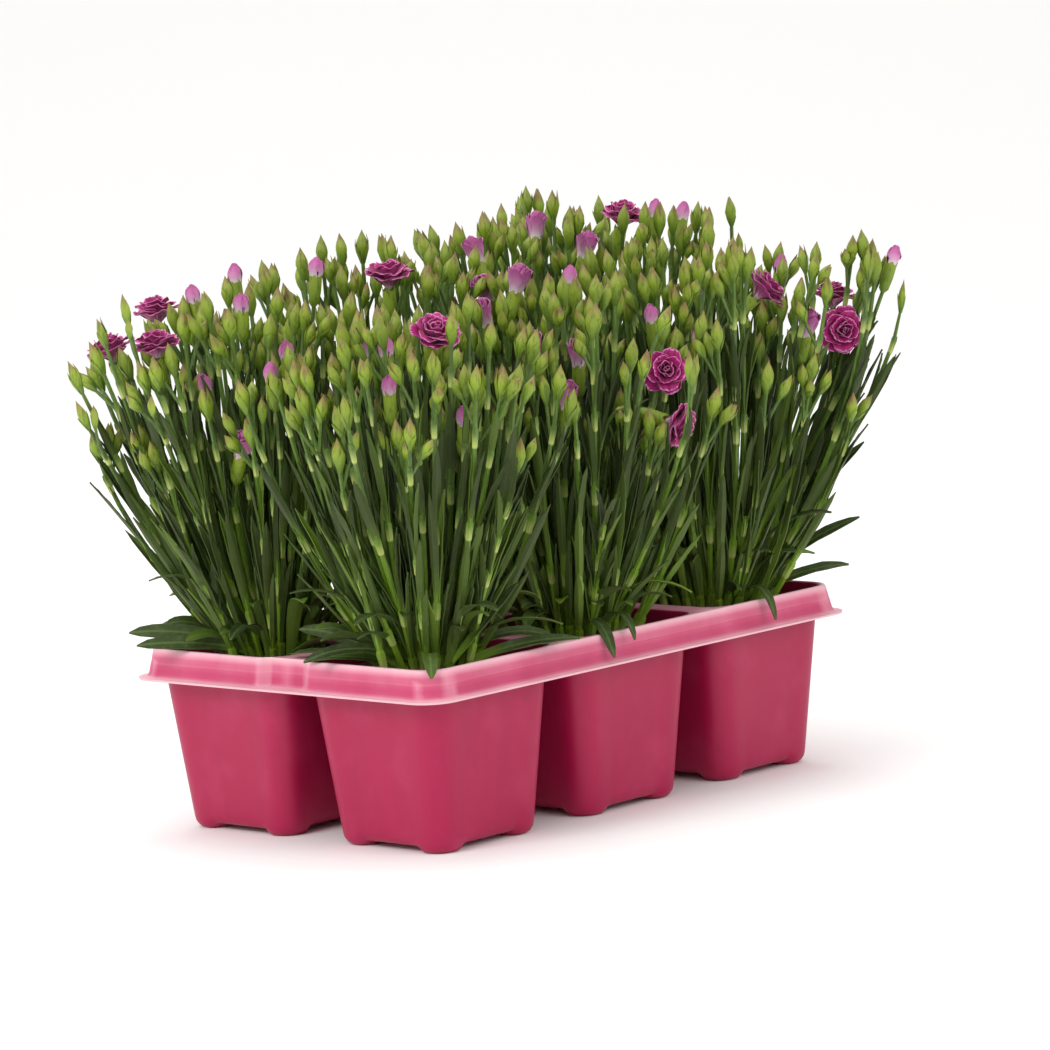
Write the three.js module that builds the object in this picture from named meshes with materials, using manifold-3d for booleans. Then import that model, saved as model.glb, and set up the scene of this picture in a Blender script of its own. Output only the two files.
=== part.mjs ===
// Six double-flowered dianthus in a joined tray of six moulded pots.
// Millimetres, +Z up, the tray's long side along X. The origin is under the middle of the whole
// plant's box, on the surface that the pots stand on.
import * as THREE from 'three';
import Module from 'manifold-3d';

const wasm = await Module();
wasm.setup();

// ---------------------------------------------------------------- driving dimensions

// The tray: three pots by two, one pitch apart.
const COLUMNS = 3;
const ROWS = 2;
const PITCH = 93;
const TRAY_HEIGHT = 82;
const SHEET = 1;

// Half-width and corner radius of one pot at its levels.
const FOOT_LEVEL = { z: 0, half: 31.6, corner: 9 };
const FLANGE_LEVEL = { z: 68.4, half: 38.5, corner: 11 };
const MOUTH_LEVEL = { z: TRAY_HEIGHT, half: 41.4, corner: 12.4 };
const FLOOR_RISE = 2.5;
const FOOT_GAP_LOW = 21;
const FOOT_GAP_HIGH = 17;
const DRAIN_RADIUS = 4;

// The rim's skirt, as a distance outwards from the middle of the outer pots.
const LIP_REACH = 48.3;
const SKIRT_FOOT_REACH = 45;
const SKIRT_TOP_REACH = 42.7;
const RIM_CREST_REACH = 41.3;
const RIM_ROUNDING = 1.4;
const LIP_CORNER = 14;

// The dent in each short side's skirt, between the two pots.
const DENT_DEPTH = 3.5;
const DENT_HALF_MOUTH = 16;
const DENT_HALF_FLOOR = 10;

// The soil in each pot, and the crown that stands in its hole.
const SOIL_LEVEL = 72;
const SOIL_GAP = 0.35;
const SOIL_LUMP = 1.6;
const CROWN_RADIUS = 12;
const CROWN_TOP = 76.5;
const CROWN_FOOT = 54;
const CROWN_SIDES = 8;
const CROWN_LEVELS = [
  { z: CROWN_FOOT, radius: 8 },
  { z: 64, radius: CROWN_RADIUS },
  { z: 74, radius: 11.2 },
  { z: CROWN_TOP, radius: 9.4 },
];

// Room between two plants, and between a plant and another's bloom.
const PLANT_GAP = 0.4;
const SEAT_GAP = 0.3;
const TURN_ASIDE = 8;

// Stems, leaves and buds.
const STEM_ROOT_Z = 69;
const STEM_RADIUS = 1.35;
const STEM_TIP_RADIUS = 1;
const STEM_SIDES = 3;
const NODE_HALF = 0.018;
const PAIR_SPREAD = radians(25);
const LEAF_KEEL = 1.1;
const BUD_LENGTH = 16;
const BUD_RADIUS = 2.9;
// Each node's place along the stem, and its leaves' length beside the longest ones.
const BUD_STEM_NODES = [{ t: 0.2, length: 1 }, { t: 0.46, length: 0.85 }, { t: 0.8, length: 0 }];
const FLOWER_STEM_NODES = [{ t: 0.28, length: 1 }, { t: 0.62, length: 0.7 }];
const SLIM_STEM_NODES = [{ t: 0.36, length: 0.95 }];
const BARE_STEM_NODES = [{ t: 0.5, length: 0 }];
const GOLDEN_ANGLE = Math.PI * (3 - Math.sqrt(5));

// How far out from its own pot's middle a plant may lean where it has no neighbour.
const LEAN = { left: 75, right: 79, front: 77, back: 82 };

// How many leafy stems with buds each plant has besides its flowers, and how tall its middle
// stands. Between them stand bare stems with a bud each, a little lower.
const PLANTS = [
  { buds: 7, height: 240, seed: 11 },
  { buds: 6, height: 246, seed: 23 },
  { buds: 7, height: 260, seed: 35 },
  { buds: 7, height: 248, seed: 47 },
  { buds: 7, height: 260, seed: 59 },
  { buds: 7, height: 276, seed: 71 },
];
const BARE_STEMS = 5;
const BARE_STEM_DROP = 8;

// The flowers: the plant that bears each, its middle in millimetres from that plant's own middle
// and above the ground, and the way it faces, as a bearing from +X and a tilt from upright.
const OPEN_BLOOMS = [
  { plant: 2, at: [23, -44, 192], bearing: 225, tilt: 72 },
  { plant: 2, at: [20, -52, 169], bearing: 290, tilt: 108 },
  { plant: 3, at: [47, -50, 198], bearing: 235, tilt: 80 },
  { plant: 3, at: [16, -31, 220], bearing: 312, tilt: 50 },
  { plant: 3, at: [66, -30, 212], bearing: 312, tilt: 10 },
  { plant: 6, at: [47, -13, 251], bearing: 270, tilt: 16 },
  { plant: 5, at: [-24, -16, 238], bearing: 230, tilt: 8 },
  { plant: 1, at: [4, -12, 220], bearing: 240, tilt: 38 },
  { plant: 4, at: [-36, 27, 217], bearing: 200, tilt: 12 },
  { plant: 4, at: [-42, 50, 215], bearing: 135, tilt: 18 },
  { plant: 4, at: [-12, 51, 229], bearing: 135, tilt: 6 },
];
const HALF_BLOOMS = [
  { plant: 2, at: [-8, -21, 203], bearing: 240, tilt: 10 },
  { plant: 2, at: [-24, -8, 208], bearing: 150, tilt: 12 },
  { plant: 2, at: [14, 33, 233], bearing: 300, tilt: 15 },
  { plant: 5, at: [31, -18, 244], bearing: 140, tilt: 14 },
  { plant: 5, at: [17, -36, 228], bearing: 190, tilt: 34 },
  { plant: 2, at: [-18, 26, 221], bearing: 180, tilt: 24 },
  { plant: 6, at: [-2, -2, 250], bearing: 20, tilt: 12 },
  { plant: 1, at: [2, 31, 214], bearing: 130, tilt: 14 },
  { plant: 4, at: [-36, -24, 174], bearing: 250, tilt: 30 },
  { plant: 6, at: [-3, -34, 241], bearing: 330, tilt: 18 },
  { plant: 3, at: [30, -44, 203], bearing: 260, tilt: 20 },
  { plant: 2, at: [-23, -26, 186], bearing: 240, tilt: 18 },
];
const OPENING_BUDS = [
  { plant: 4, at: [-13, -5, 234], bearing: 220, tilt: 6 },
  { plant: 4, at: [7, 19, 245], bearing: 130, tilt: 4 },
  { plant: 4, at: [-10, 29, 237], bearing: 130, tilt: 10 },
  { plant: 4, at: [38, -2, 245], bearing: 310, tilt: 8 },
  { plant: 1, at: [-14, 0, 216], bearing: 220, tilt: 6 },
  { plant: 2, at: [28, 14, 234], bearing: 320, tilt: 8 },
  { plant: 3, at: [-34, -34, 206], bearing: 320, tilt: 18 },
  { plant: 3, at: [9, 3, 222], bearing: 300, tilt: 12 },
  { plant: 2, at: [38, -24, 216], bearing: 200, tilt: 8 },
  { plant: 3, at: [32, -2, 231], bearing: 310, tilt: 10 },
  { plant: 6, at: [55, -27, 254], bearing: 310, tilt: 6 },
  { plant: 6, at: [62, -38, 252], bearing: 320, tilt: 10 },
  { plant: 3, at: [54, -10, 228], bearing: 310, tilt: 12 },
  { plant: 3, at: [70, -64, 231], bearing: 312, tilt: 20 },
  { plant: 4, at: [-17, -35, 214], bearing: 200, tilt: 8 },
  { plant: 1, at: [-24, -10, 201], bearing: 220, tilt: 8 },
  { plant: 4, at: [-31, 3, 200], bearing: 150, tilt: 12 },
  { plant: 4, at: [-31, -39, 206], bearing: 200, tilt: 10 },
  { plant: 1, at: [-4, -34, 186], bearing: 250, tilt: 10 },
];

// What each kind of flower measures: its calyx, how high its middle is over the calyx, and the
// ball around its petals that other stems lean clear of.
const FLOWER_KINDS = {
  open: { calyx: 16, calyxRadius: 3, middle: 6, ballHeight: 7, ball: 14, nodes: FLOWER_STEM_NODES },
  half: { calyx: 15, calyxRadius: 2.9, middle: 5, ballHeight: 7, ball: 9, nodes: SLIM_STEM_NODES },
  opening: { calyx: 14, calyxRadius: 2.8, middle: 4, ballHeight: 5, ball: 6.5, nodes: SLIM_STEM_NODES },
};

// ---------------------------------------------------------------- finishes

const plasticFinish = new THREE.MeshStandardMaterial({ color: '#b83c60', roughness: 0.42, metalness: 0 });
const soilFinish = new THREE.MeshStandardMaterial({ color: '#33261c', roughness: 0.95, metalness: 0 });
const leafFinish = new THREE.MeshStandardMaterial({ color: '#4c6a42', roughness: 0.6, metalness: 0 });
const petalFinish = new THREE.MeshStandardMaterial({ color: '#b0135f', roughness: 0.7, metalness: 0 });
const paleFinish = new THREE.MeshStandardMaterial({ color: '#cf6bb0', roughness: 0.7, metalness: 0 });

// ---------------------------------------------------------------- solids and vectors

const UP = new THREE.Vector3(0, 0, 1);

function vector(x, y, z) {
  return new THREE.Vector3(x, y, z);
}

// a + b * amount
function along(a, b, amount) {
  return a.clone().addScaledVector(b, amount);
}

// A horizontal unit vector at a bearing from +X, in radians.
function heading(angle) {
  return vector(Math.cos(angle), Math.sin(angle), 0);
}

// The direction tilted from upright towards a bearing, both in radians.
function tilted(bearing, tilt) {
  return along(UP.clone().multiplyScalar(Math.cos(tilt)), heading(bearing), Math.sin(tilt));
}

function radians(degrees) {
  return THREE.MathUtils.degToRad(degrees);
}

// A number from 0 to 1 at each call, the same list for the same seed: a linear congruential
// generator with the usual 32-bit multiplier and step.
const RANDOM_RANGE = 2 ** 32;
const RANDOM_MULTIPLIER = 1664525;
const RANDOM_STEP = 1013904223;

function makeRandom(seed) {
  let state = seed;
  return () => {
    state = (state * RANDOM_MULTIPLIER + RANDOM_STEP) % RANDOM_RANGE;
    return state / RANDOM_RANGE;
  };
}

function solidOf(points, faces) {
  const vertProperties = new Float32Array(points.flatMap((point) => point.toArray()));
  const triVerts = new Uint32Array(faces.flat());
  return new wasm.Manifold(new wasm.Mesh({ numProp: 3, vertProperties, triVerts }));
}

function unite(solids) {
  return solids.reduce((whole, solid) => whole.add(solid));
}

// A solid through rings of equally many points, each counter-clockwise seen from the last one.
// A ring of one point is a tip. A hollowed outline has its ends closed round a middle point.
function loft(rings, endsRoundMiddle = false) {
  const points = rings.flat();
  const count = rings[0].length;
  const faces = [];
  for (let band = 0; band + 1 < rings.length; band += 1) {
    const low = band * count;
    const high = low + count;
    for (let side = 0; side < count; side += 1) {
      const next = (side + 1) % count;
      if (rings[band + 1].length === 1) {
        faces.push([low + side, low + next, high]);
      } else {
        faces.push([low + side, low + next, high + next], [low + side, high + next, high + side]);
      }
    }
  }
  closeEnd(points, faces, rings[0], 0, true, endsRoundMiddle);
  const last = rings[rings.length - 1];
  if (last.length > 1) {
    closeEnd(points, faces, last, (rings.length - 1) * count, false, endsRoundMiddle);
  }
  return solidOf(points, faces);
}

function closeEnd(points, faces, ring, start, facesBack, roundMiddle) {
  const order = (a, b, c) => (facesBack ? [a, c, b] : [a, b, c]);
  if (roundMiddle) {
    const middle = points.length;
    const sum = ring.reduce((total, point) => total.add(point), vector(0, 0, 0));
    points.push(sum.divideScalar(ring.length));
    ring.forEach((point, side) => {
      faces.push(order(middle, start + side, start + ((side + 1) % ring.length)));
    });
    return;
  }
  for (let side = 1; side + 1 < ring.length; side += 1) {
    faces.push(order(start, start + side, start + side + 1));
  }
}

// Two unit vectors across a direction, so that first x second = direction.
function crossAxes(direction, towards) {
  const second = along(towards, direction, -towards.dot(direction)).normalize();
  const first = second.clone().cross(direction);
  return { first, second };
}

// A ring of equal sides round a point, across a direction.
function roundRing(centre, direction, radius, sides, towards = vector(0.31, 0.95, 0.05)) {
  const { first, second } = crossAxes(direction, towards);
  return Array.from({ length: sides }, (unused, side) => {
    const angle = (2 * Math.PI * side) / sides;
    return along(along(centre, first, radius * Math.cos(angle)), second, radius * Math.sin(angle));
  });
}

// The middle line of a stem, leaf or pedicel: a Bezier curve of three or four points.
function curvePoint(control, t) {
  let points = control;
  while (points.length > 1) {
    points = points.slice(1).map((point, index) => points[index].clone().lerp(point, t));
  }
  return points[0];
}

function curveDirection(control, t) {
  const step = 0.01;
  const from = curvePoint(control, Math.max(0, t - step));
  return curvePoint(control, Math.min(1, t + step)).sub(from).normalize();
}

// ---------------------------------------------------------------- the tray

const CORNER_STEPS = 2;

// A rectangle with round corners, counter-clockwise; a dent sets the middle of each X side back.
function cornerRing(halfX, halfY, corner, z, dent = null) {
  const ring = [];
  for (let quarter = 0; quarter < 4; quarter += 1) {
    const right = quarter === 0 || quarter === 3 ? 1 : -1;
    const back = quarter < 2 ? 1 : -1;
    for (let step = 0; step <= CORNER_STEPS; step += 1) {
      const angle = (Math.PI / 2) * (quarter + step / CORNER_STEPS);
      const x = right * (halfX - corner) + corner * Math.cos(angle);
      const y = back * (halfY - corner) + corner * Math.sin(angle);
      ring.push(vector(x, y, z));
    }
    if (dent !== null && quarter % 2 === 1) {
      ring.push(...dentPoints(right, halfX, z, dent));
    }
  }
  return ring;
}

// The four corners of a dent, in the order in which a ring passes them.
function dentPoints(right, halfX, z, depth) {
  const reaches = [-DENT_HALF_MOUTH, -DENT_HALF_FLOOR, DENT_HALF_FLOOR, DENT_HALF_MOUTH];
  return reaches.map((reach, index) => {
    const setBack = index === 1 || index === 2 ? depth : 0;
    return vector(right * (halfX - setBack), right * reach, z);
  });
}

// A level of the rim's skirt, which runs round the whole tray.
function skirtRing(reach, corner, z, dent) {
  const halfX = (PITCH * (COLUMNS - 1)) / 2 + reach;
  const halfY = (PITCH * (ROWS - 1)) / 2 + reach;
  return cornerRing(halfX, halfY, corner, z, dent);
}

function makeSkirt() {
  const outer = loft([
    skirtRing(LIP_REACH, LIP_CORNER, FLANGE_LEVEL.z, 0),
    skirtRing(LIP_REACH, LIP_CORNER, FLANGE_LEVEL.z + SHEET, 0),
    skirtRing(SKIRT_FOOT_REACH, LIP_CORNER - 1, FLANGE_LEVEL.z + 1.5 * SHEET, DENT_DEPTH),
    skirtRing(SKIRT_TOP_REACH, LIP_CORNER - 2, TRAY_HEIGHT - RIM_ROUNDING, DENT_DEPTH),
    skirtRing(RIM_CREST_REACH, LIP_CORNER - 3, TRAY_HEIGHT, DENT_DEPTH),
  ], true);
  const hollow = loft([
    skirtRing(SKIRT_FOOT_REACH - SHEET, LIP_CORNER - 2, FLANGE_LEVEL.z - SHEET, DENT_DEPTH),
    skirtRing(SKIRT_TOP_REACH - SHEET, LIP_CORNER - 3, TRAY_HEIGHT - RIM_ROUNDING, DENT_DEPTH),
    skirtRing(RIM_CREST_REACH - SHEET, LIP_CORNER - 4, TRAY_HEIGHT - SHEET, DENT_DEPTH),
  ], true);
  return outer.subtract(hollow);
}

// The pot's half-width at a height, outside its wall.
function potHalf(z) {
  const [low, high] = z < FLANGE_LEVEL.z ? [FOOT_LEVEL, FLANGE_LEVEL] : [FLANGE_LEVEL, MOUTH_LEVEL];
  return THREE.MathUtils.mapLinear(z, low.z, high.z, low.half, high.half);
}

function potCorner(z) {
  const [low, high] = z < FLANGE_LEVEL.z ? [FOOT_LEVEL, FLANGE_LEVEL] : [FLANGE_LEVEL, MOUTH_LEVEL];
  return THREE.MathUtils.mapLinear(z, low.z, high.z, low.corner, high.corner);
}

// A level of one pot, set in from its outside by a wall's thickness.
function potRing(centre, z, inset) {
  const half = potHalf(z) - inset;
  const ring = cornerRing(half, half, potCorner(z) - inset, z);
  return ring.map((point) => point.add(centre));
}

function makePotOutside(centre) {
  return loft([0, FLANGE_LEVEL.z, TRAY_HEIGHT].map((z) => potRing(centre, z, 0)));
}

function makePotInside(centre) {
  const levels = [FLOOR_RISE + SHEET, FLANGE_LEVEL.z, TRAY_HEIGHT, TRAY_HEIGHT + SHEET];
  return loft(levels.map((z) => potRing(centre, z, SHEET)));
}

// The raised middle of a pot's base, cut right across so that only its four corners stand.
function makeFootCut(centre, turned) {
  const reach = FOOT_LEVEL.half + SHEET;
  const sides = [-reach, reach].map((end) => {
    const outline = [
      [-FOOT_GAP_LOW, -SHEET],
      [FOOT_GAP_LOW, -SHEET],
      [FOOT_GAP_HIGH, FLOOR_RISE],
      [-FOOT_GAP_HIGH, FLOOR_RISE],
    ];
    return outline.map(([across, z]) => {
      const point = turned ? vector(-across, end, z) : vector(end, across, z);
      return point.add(centre);
    });
  });
  return loft(sides);
}

function makeDrain(centre) {
  const low = along(centre, UP, -SHEET);
  const high = along(centre, UP, FLOOR_RISE + 2 * SHEET);
  return loft([roundRing(low, UP, DRAIN_RADIUS, 8), roundRing(high, UP, DRAIN_RADIUS, 8)]);
}

function makeTray(centres) {
  const rim = makeSkirt();
  const pots = unite([rim, ...centres.map(makePotOutside)]);
  const cuts = centres.flatMap((centre) => [
    makePotInside(centre),
    makeFootCut(centre, false),
    makeFootCut(centre, true),
    makeDrain(centre),
  ]);
  return cuts.reduce((whole, cut) => whole.subtract(cut), pots);
}

// ---------------------------------------------------------------- the soil

// One pot's soil: it fills the pot to a lumpy top, with a plain hole for the plant's crown.
function makeSoil(random) {
  const inset = SHEET + SOIL_GAP;
  const origin = vector(0, 0, 0);
  const bottom = potRing(origin, FLOOR_RISE + SHEET + SOIL_GAP, inset);
  const flange = potRing(origin, FLANGE_LEVEL.z, inset);
  const edge = potRing(origin, SOIL_LEVEL, inset);
  const step = (2 * Math.PI) / edge.length;
  const holeRadius = (CROWN_RADIUS + 2 * SOIL_GAP) / Math.cos(step / 2);
  const holeTop = edge.map((point, index) => {
    const outwards = heading(Math.PI / 4 + (index - CORNER_STEPS / 2) * step);
    return along(vector(0, 0, SOIL_LEVEL + SOIL_LUMP * random()), outwards, holeRadius);
  });
  const middle = edge.map((point, index) => {
    const between = point.clone().lerp(holeTop[index], 0.45);
    return between.setZ(SOIL_LEVEL + SOIL_LUMP * (random() - 0.2));
  });
  const holeFoot = holeTop.map((point) => point.clone().setZ(CROWN_FOOT - SOIL_GAP));
  return loft([bottom, flange, edge, middle, holeTop, holeFoot]);
}

// ---------------------------------------------------------------- where a plant may grow

// How far the plant may reach on each side of its own middle.
function territoryOf(column, row) {
  const shared = (PITCH - PLANT_GAP) / 2;
  return {
    left: column === 0 ? LEAN.left : shared,
    right: column === COLUMNS - 1 ? LEAN.right : shared,
    front: row === 0 ? LEAN.front : shared,
    back: row === ROWS - 1 ? LEAN.back : shared,
  };
}

// A distance eased off so that it never passes its limit.
function easeOff(distance, limit) {
  const free = limit - TURN_ASIDE;
  if (distance <= free) {
    return distance;
  }
  return free + TURN_ASIDE * Math.tanh((distance - free) / TURN_ASIDE);
}

// A point of the plant, bent back so that it and the half-width round it stay in its territory.
function keepIn(territory, point, halfWidth) {
  const { left, right, front, back } = territory;
  const x = point.x > 0 ? easeOff(point.x, right - halfWidth) : -easeOff(-point.x, left - halfWidth);
  const y = point.y > 0 ? easeOff(point.y, back - halfWidth) : -easeOff(-point.y, front - halfWidth);
  return vector(x, y, point.z);
}

// A curve bent clear of the balls round the plant's flowers. Its root stays where it is.
function bendClear(control, flowers, own, freeTip) {
  const checks = 14;
  flowers.filter((flower) => flower !== own).forEach((flower) => {
    let nearest = Infinity;
    let push = null;
    for (let check = 0; check <= checks; check += 1) {
      const away = curvePoint(control, check / checks).sub(flower.ballMiddle);
      if (away.length() < nearest) {
        nearest = away.length();
        push = away.normalize();
      }
    }
    const lack = flower.ball - nearest;
    if (lack > 0) {
      const movable = control.slice(1, freeTip ? undefined : -1);
      movable.forEach((point) => point.addScaledVector(push, lack * (freeTip ? 1.1 : 1.5)));
    }
  });
}

// ---------------------------------------------------------------- the plan of one plant

// A flower with its axis, the seat on its calyx and the ball round its petals.
function placeFlower(kind, { plant, at, bearing, tilt }, name) {
  const sizes = FLOWER_KINDS[kind];
  const axis = tilted(radians(bearing), radians(tilt));
  const seat = along(vector(...at), axis, -sizes.middle);
  const ballMiddle = along(seat, axis, sizes.ballHeight);
  const turn = radians(bearing) + Math.PI / 2;
  return { kind, plant, name, axis, turn, seat, ballMiddle, ...sizes };
}

function numbered(stem, index) {
  return `${stem}_${String(index + 1).padStart(2, '0')}`;
}

const FLOWERS = [
  ...OPEN_BLOOMS.map((row, index) => placeFlower('open', row, numbered('open_bloom', index))),
  ...HALF_BLOOMS.map((row, index) => placeFlower('half', row, numbered('half_bloom', index))),
  ...OPENING_BUDS.map((row, index) => placeFlower('opening', row, numbered('opening_bud', index))),
];

// The middle line of a stem from the crown to its tip, leaving and ending in given directions.
function stemControl(tip, endDirection) {
  const reach = Math.hypot(tip.x, tip.y);
  const outwards = vector(tip.x, tip.y, 0).normalize();
  const root = along(vector(0, 0, STEM_ROOT_Z), outwards, Math.min(CROWN_RADIUS - 4, 0.2 * reach));
  const length = root.distanceTo(tip);
  const rootDirection = along(UP, outwards, Math.min(0.5, 0.008 * reach)).normalize();
  return [root, along(root, rootDirection, 0.35 * length), along(tip, endDirection, -0.25 * length), tip];
}

// The tips of budded stems: a spiral that fills the plant's territory, lower to the outside.
function budTips(count, height, territory, flowers, random) {
  const halfX = (territory.right + territory.left) / 2 - 6;
  const halfY = (territory.back + territory.front) / 2 - 6;
  const middle = vector((territory.right - territory.left) / 2, (territory.back - territory.front) / 2, 0);
  const phase = 2 * Math.PI * random();
  return Array.from({ length: count }, (unused, index) => {
    const spiral = Math.sqrt((index + 0.6) / count);
    const ray = heading(phase + GOLDEN_ANGLE * index);
    const square = spiral / Math.max(Math.abs(ray.x), Math.abs(ray.y)) ** 0.75;
    const tip = along(middle, vector(ray.x * halfX, ray.y * halfY, 0), square);
    const outside = Math.max(0, Math.hypot(tip.x, tip.y) - 22) / 60;
    tip.z = height - BUD_LENGTH - 34 * outside ** 1.5 - 14 * random();
    flowers.forEach((flower) => {
      const away = tip.clone().sub(flower.ballMiddle);
      const lack = flower.ball + 4 - away.length();
      if (lack > 0) {
        tip.addScaledVector(away.setZ(0).normalize(), 1.4 * lack);
      }
    });
    return keepIn(territory, tip, 5);
  });
}

// The axes across a stem: its three sides face away from these lines' corners.
function stemAxes(control, t, turn) {
  return crossAxes(curveDirection(control, t), heading(turn));
}

// The way one of a stem's three sides faces, level with the ground.
function sideHeading(control, t, turn, side, aside) {
  const { first, second } = stemAxes(control, t, turn);
  const angle = (2 * Math.PI * (side + 0.5)) / STEM_SIDES + aside;
  const outwards = along(first.multiplyScalar(Math.cos(angle)), second, Math.sin(angle));
  return outwards.setZ(0).normalize();
}

// One pair of leaves on opposite sides of a stem's node.
function leafPair(control, node, turn, random) {
  const root = curvePoint(control, node.t);
  const direction = curveDirection(control, node.t);
  return [0, 1].map((half) => {
    const side = (node.side + half) % STEM_SIDES;
    const outwards = sideHeading(control, node.t, turn, side, half === 0 ? -PAIR_SPREAD : PAIR_SPREAD);
    const length = (42 + 20 * random()) * node.length;
    const spread = radians(9 + 9 * random());
    const near = along(direction, outwards, Math.tan(spread)).normalize();
    const far = along(direction, outwards, Math.tan(1.9 * spread)).normalize();
    const middle = along(root, near, 0.5 * length);
    return {
      control: [root, middle, along(middle, far, 0.5 * length)],
      width: 4.6 + 1.4 * random(),
      outwards,
      node,
      side,
    };
  });
}

// Side buds grow at a stem's upper node, each on the free part of one of the stem's sides.
function sideBuds(control, node, turn, random) {
  const count = Math.floor(2.5 * random());
  const root = curvePoint(control, node.t);
  const direction = curveDirection(control, node.t);
  return Array.from({ length: count }, (unused, index) => {
    const side = (node.side + 2 + index) % STEM_SIDES;
    const outwards = sideHeading(control, node.t, turn, side, 0);
    const lean = along(direction, outwards, Math.tan(radians(19 + 8 * random()))).normalize();
    return { control: [root, along(root, lean, 27 + 5 * random())], outwards, node, side };
  });
}

// A stem with its leaf pairs, and with buds where it carries no flower.
function planStem(tip, endDirection, turn, flower, territory, flowers, random) {
  const control = stemControl(tip, endDirection);
  bendClear(control, flowers, flower, false);
  const heights = flower === null ? BUD_STEM_NODES : FLOWER_KINDS[flower.kind].nodes;
  const nodes = heights.map(({ t, length }, index) => {
    return { t: t + 0.07 * random(), side: (2 * index) % STEM_SIDES, length };
  });
  const leafy = nodes.filter((node) => node.length > 0);
  const leaves = leafy.flatMap((node) => leafPair(control, node, turn, random));
  leaves.forEach((leaf) => bendClear(leaf.control, flowers, null, true));
  const upper = nodes[nodes.length - 1];
  const buds = flower === null ? sideBuds(control, upper, turn, random) : [];
  buds.forEach((bud) => bendClear(bud.control, flowers, null, true));
  const size = 0.92 + 0.16 * random();
  const used = nodes.filter((node) => node.length > 0 || buds.length > 0);
  return { control, turn, nodes: used, leaves, buds, flower, territory, size };
}

// A budded stem without leaves or side buds.
function planBareStem(tip, turn, territory, flowers, random) {
  const control = stemControl(tip, tipDirection(tip, turn));
  bendClear(control, flowers, null, false);
  const size = 0.92 + 0.16 * random();
  const nodes = BARE_STEM_NODES;
  return { control, turn, nodes, leaves: [], buds: [], flower: null, territory, size };
}

// The way a budded stem's tip points: up, leaning outwards and a little to one side.
function tipDirection(tip, turn) {
  const outwards = vector(tip.x, tip.y, 0).multiplyScalar(1 / 260);
  return along(UP, outwards, 1).add(heading(turn).multiplyScalar(0.07)).normalize();
}

// The long leaves round the crown, which arch out over the rim.
function planBasalLeaves(random) {
  return Array.from({ length: CROWN_SIDES }, (unused, index) => {
    const outwards = heading((2 * Math.PI * (index + 0.3 + 0.4 * random())) / CROWN_SIDES);
    const reach = 50 + 16 * random();
    const rise = 24 + 22 * random();
    const droop = 6 + 16 * random();
    const root = along(vector(0, 0, CROWN_TOP - 2), outwards, CROWN_RADIUS - 2);
    const shoulder = along(vector(0, 0, CROWN_TOP + rise), outwards, 0.5 * reach);
    const tip = along(vector(0, 0, CROWN_TOP + rise - droop + 4), outwards, reach);
    return { control: [root, shoulder, tip], width: 6 + 1.8 * random(), outwards };
  });
}

function planPlant(plant, number) {
  const column = (number - 1) % COLUMNS;
  const row = Math.floor((number - 1) / COLUMNS);
  const random = makeRandom(plant.seed);
  const territory = territoryOf(column, row);
  const flowers = FLOWERS.filter((flower) => flower.plant === number);
  const tips = budTips(plant.buds, plant.height, territory, flowers, random);
  const budStems = tips.map((tip) => {
    const turn = 2 * Math.PI * random();
    return planStem(tip, tipDirection(tip, turn), turn, null, territory, flowers, random);
  });
  const flowerStems = flowers.map((flower) => {
    const calyxFoot = along(flower.seat, flower.axis, -flower.calyx);
    return planStem(calyxFoot, flower.axis, flower.turn, flower, territory, flowers, random);
  });
  const basalLeaves = planBasalLeaves(random);
  const bareTips = budTips(BARE_STEMS, plant.height - BARE_STEM_DROP, territory, flowers, random);
  const bareStems = bareTips.map((tip) => {
    const turn = 2 * Math.PI * random();
    return planBareStem(tip, turn, territory, flowers, random);
  });
  return { stems: [...budStems, ...flowerStems, ...bareStems], basalLeaves, territory, flowers };
}

// ---------------------------------------------------------------- stems, leaves and buds as solids

// One stem with its leaves and buds, as one skin of triangles. Every leaf and side bud is drawn
// out of a triangle of the stem's side at its node, so that nothing crosses.
function makeStem(stem) {
  const { control, turn, nodes, leaves, buds, flower, territory } = stem;
  const rings = [{ t: 0 }, ...nodes.flatMap(({ t }) => [{ t: t - NODE_HALF }, { t: t + NODE_HALF }])];
  const points = [];
  const faces = [];
  rings.push({ t: 1 });
  rings.forEach(({ t }) => {
    const radius = THREE.MathUtils.lerp(STEM_RADIUS, STEM_TIP_RADIUS, t);
    const centre = keepIn(territory, curvePoint(control, t), STEM_RADIUS);
    points.push(...roundRing(centre, curveDirection(control, t), radius, STEM_SIDES, heading(turn)));
  });
  points.push(...(flower === null ? budEnd(stem) : calyxEnd(stem)));
  faces.push([0, 2, 1]);
  for (let band = 0; (band + 2) * STEM_SIDES <= points.length; band += 1) {
    for (let side = 0; side < STEM_SIDES; side += 1) {
      faces.push(...bandFaces(band, side));
    }
  }
  closeStem(points, faces);
  const bandOf = (node) => 1 + 2 * nodes.indexOf(node);
  leaves.forEach((leaf) => {
    const base = bandFaces(bandOf(leaf.node), leaf.side)[0];
    drawOut(points, faces, base, leafRings(leaf, territory, STEM_LEAF_SHAPE));
  });
  buds.forEach((bud) => {
    const base = bandFaces(bandOf(bud.node), bud.side)[1];
    drawOut(points, faces, base, sideBudRings(bud, territory));
  });
  return solidOf(points, faces);
}

// The upper end of a stem's skin: a point over the last ring, or that ring's own flat face.
function closeStem(points, faces) {
  const over = points.length % STEM_SIDES;
  const ring = points.length - over - STEM_SIDES;
  if (over === 0) {
    faces.push([ring, ring + 1, ring + 2]);
    return;
  }
  for (let side = 0; side < STEM_SIDES; side += 1) {
    faces.push([ring + side, ring + ((side + 1) % STEM_SIDES), points.length - 1]);
  }
}

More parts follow.
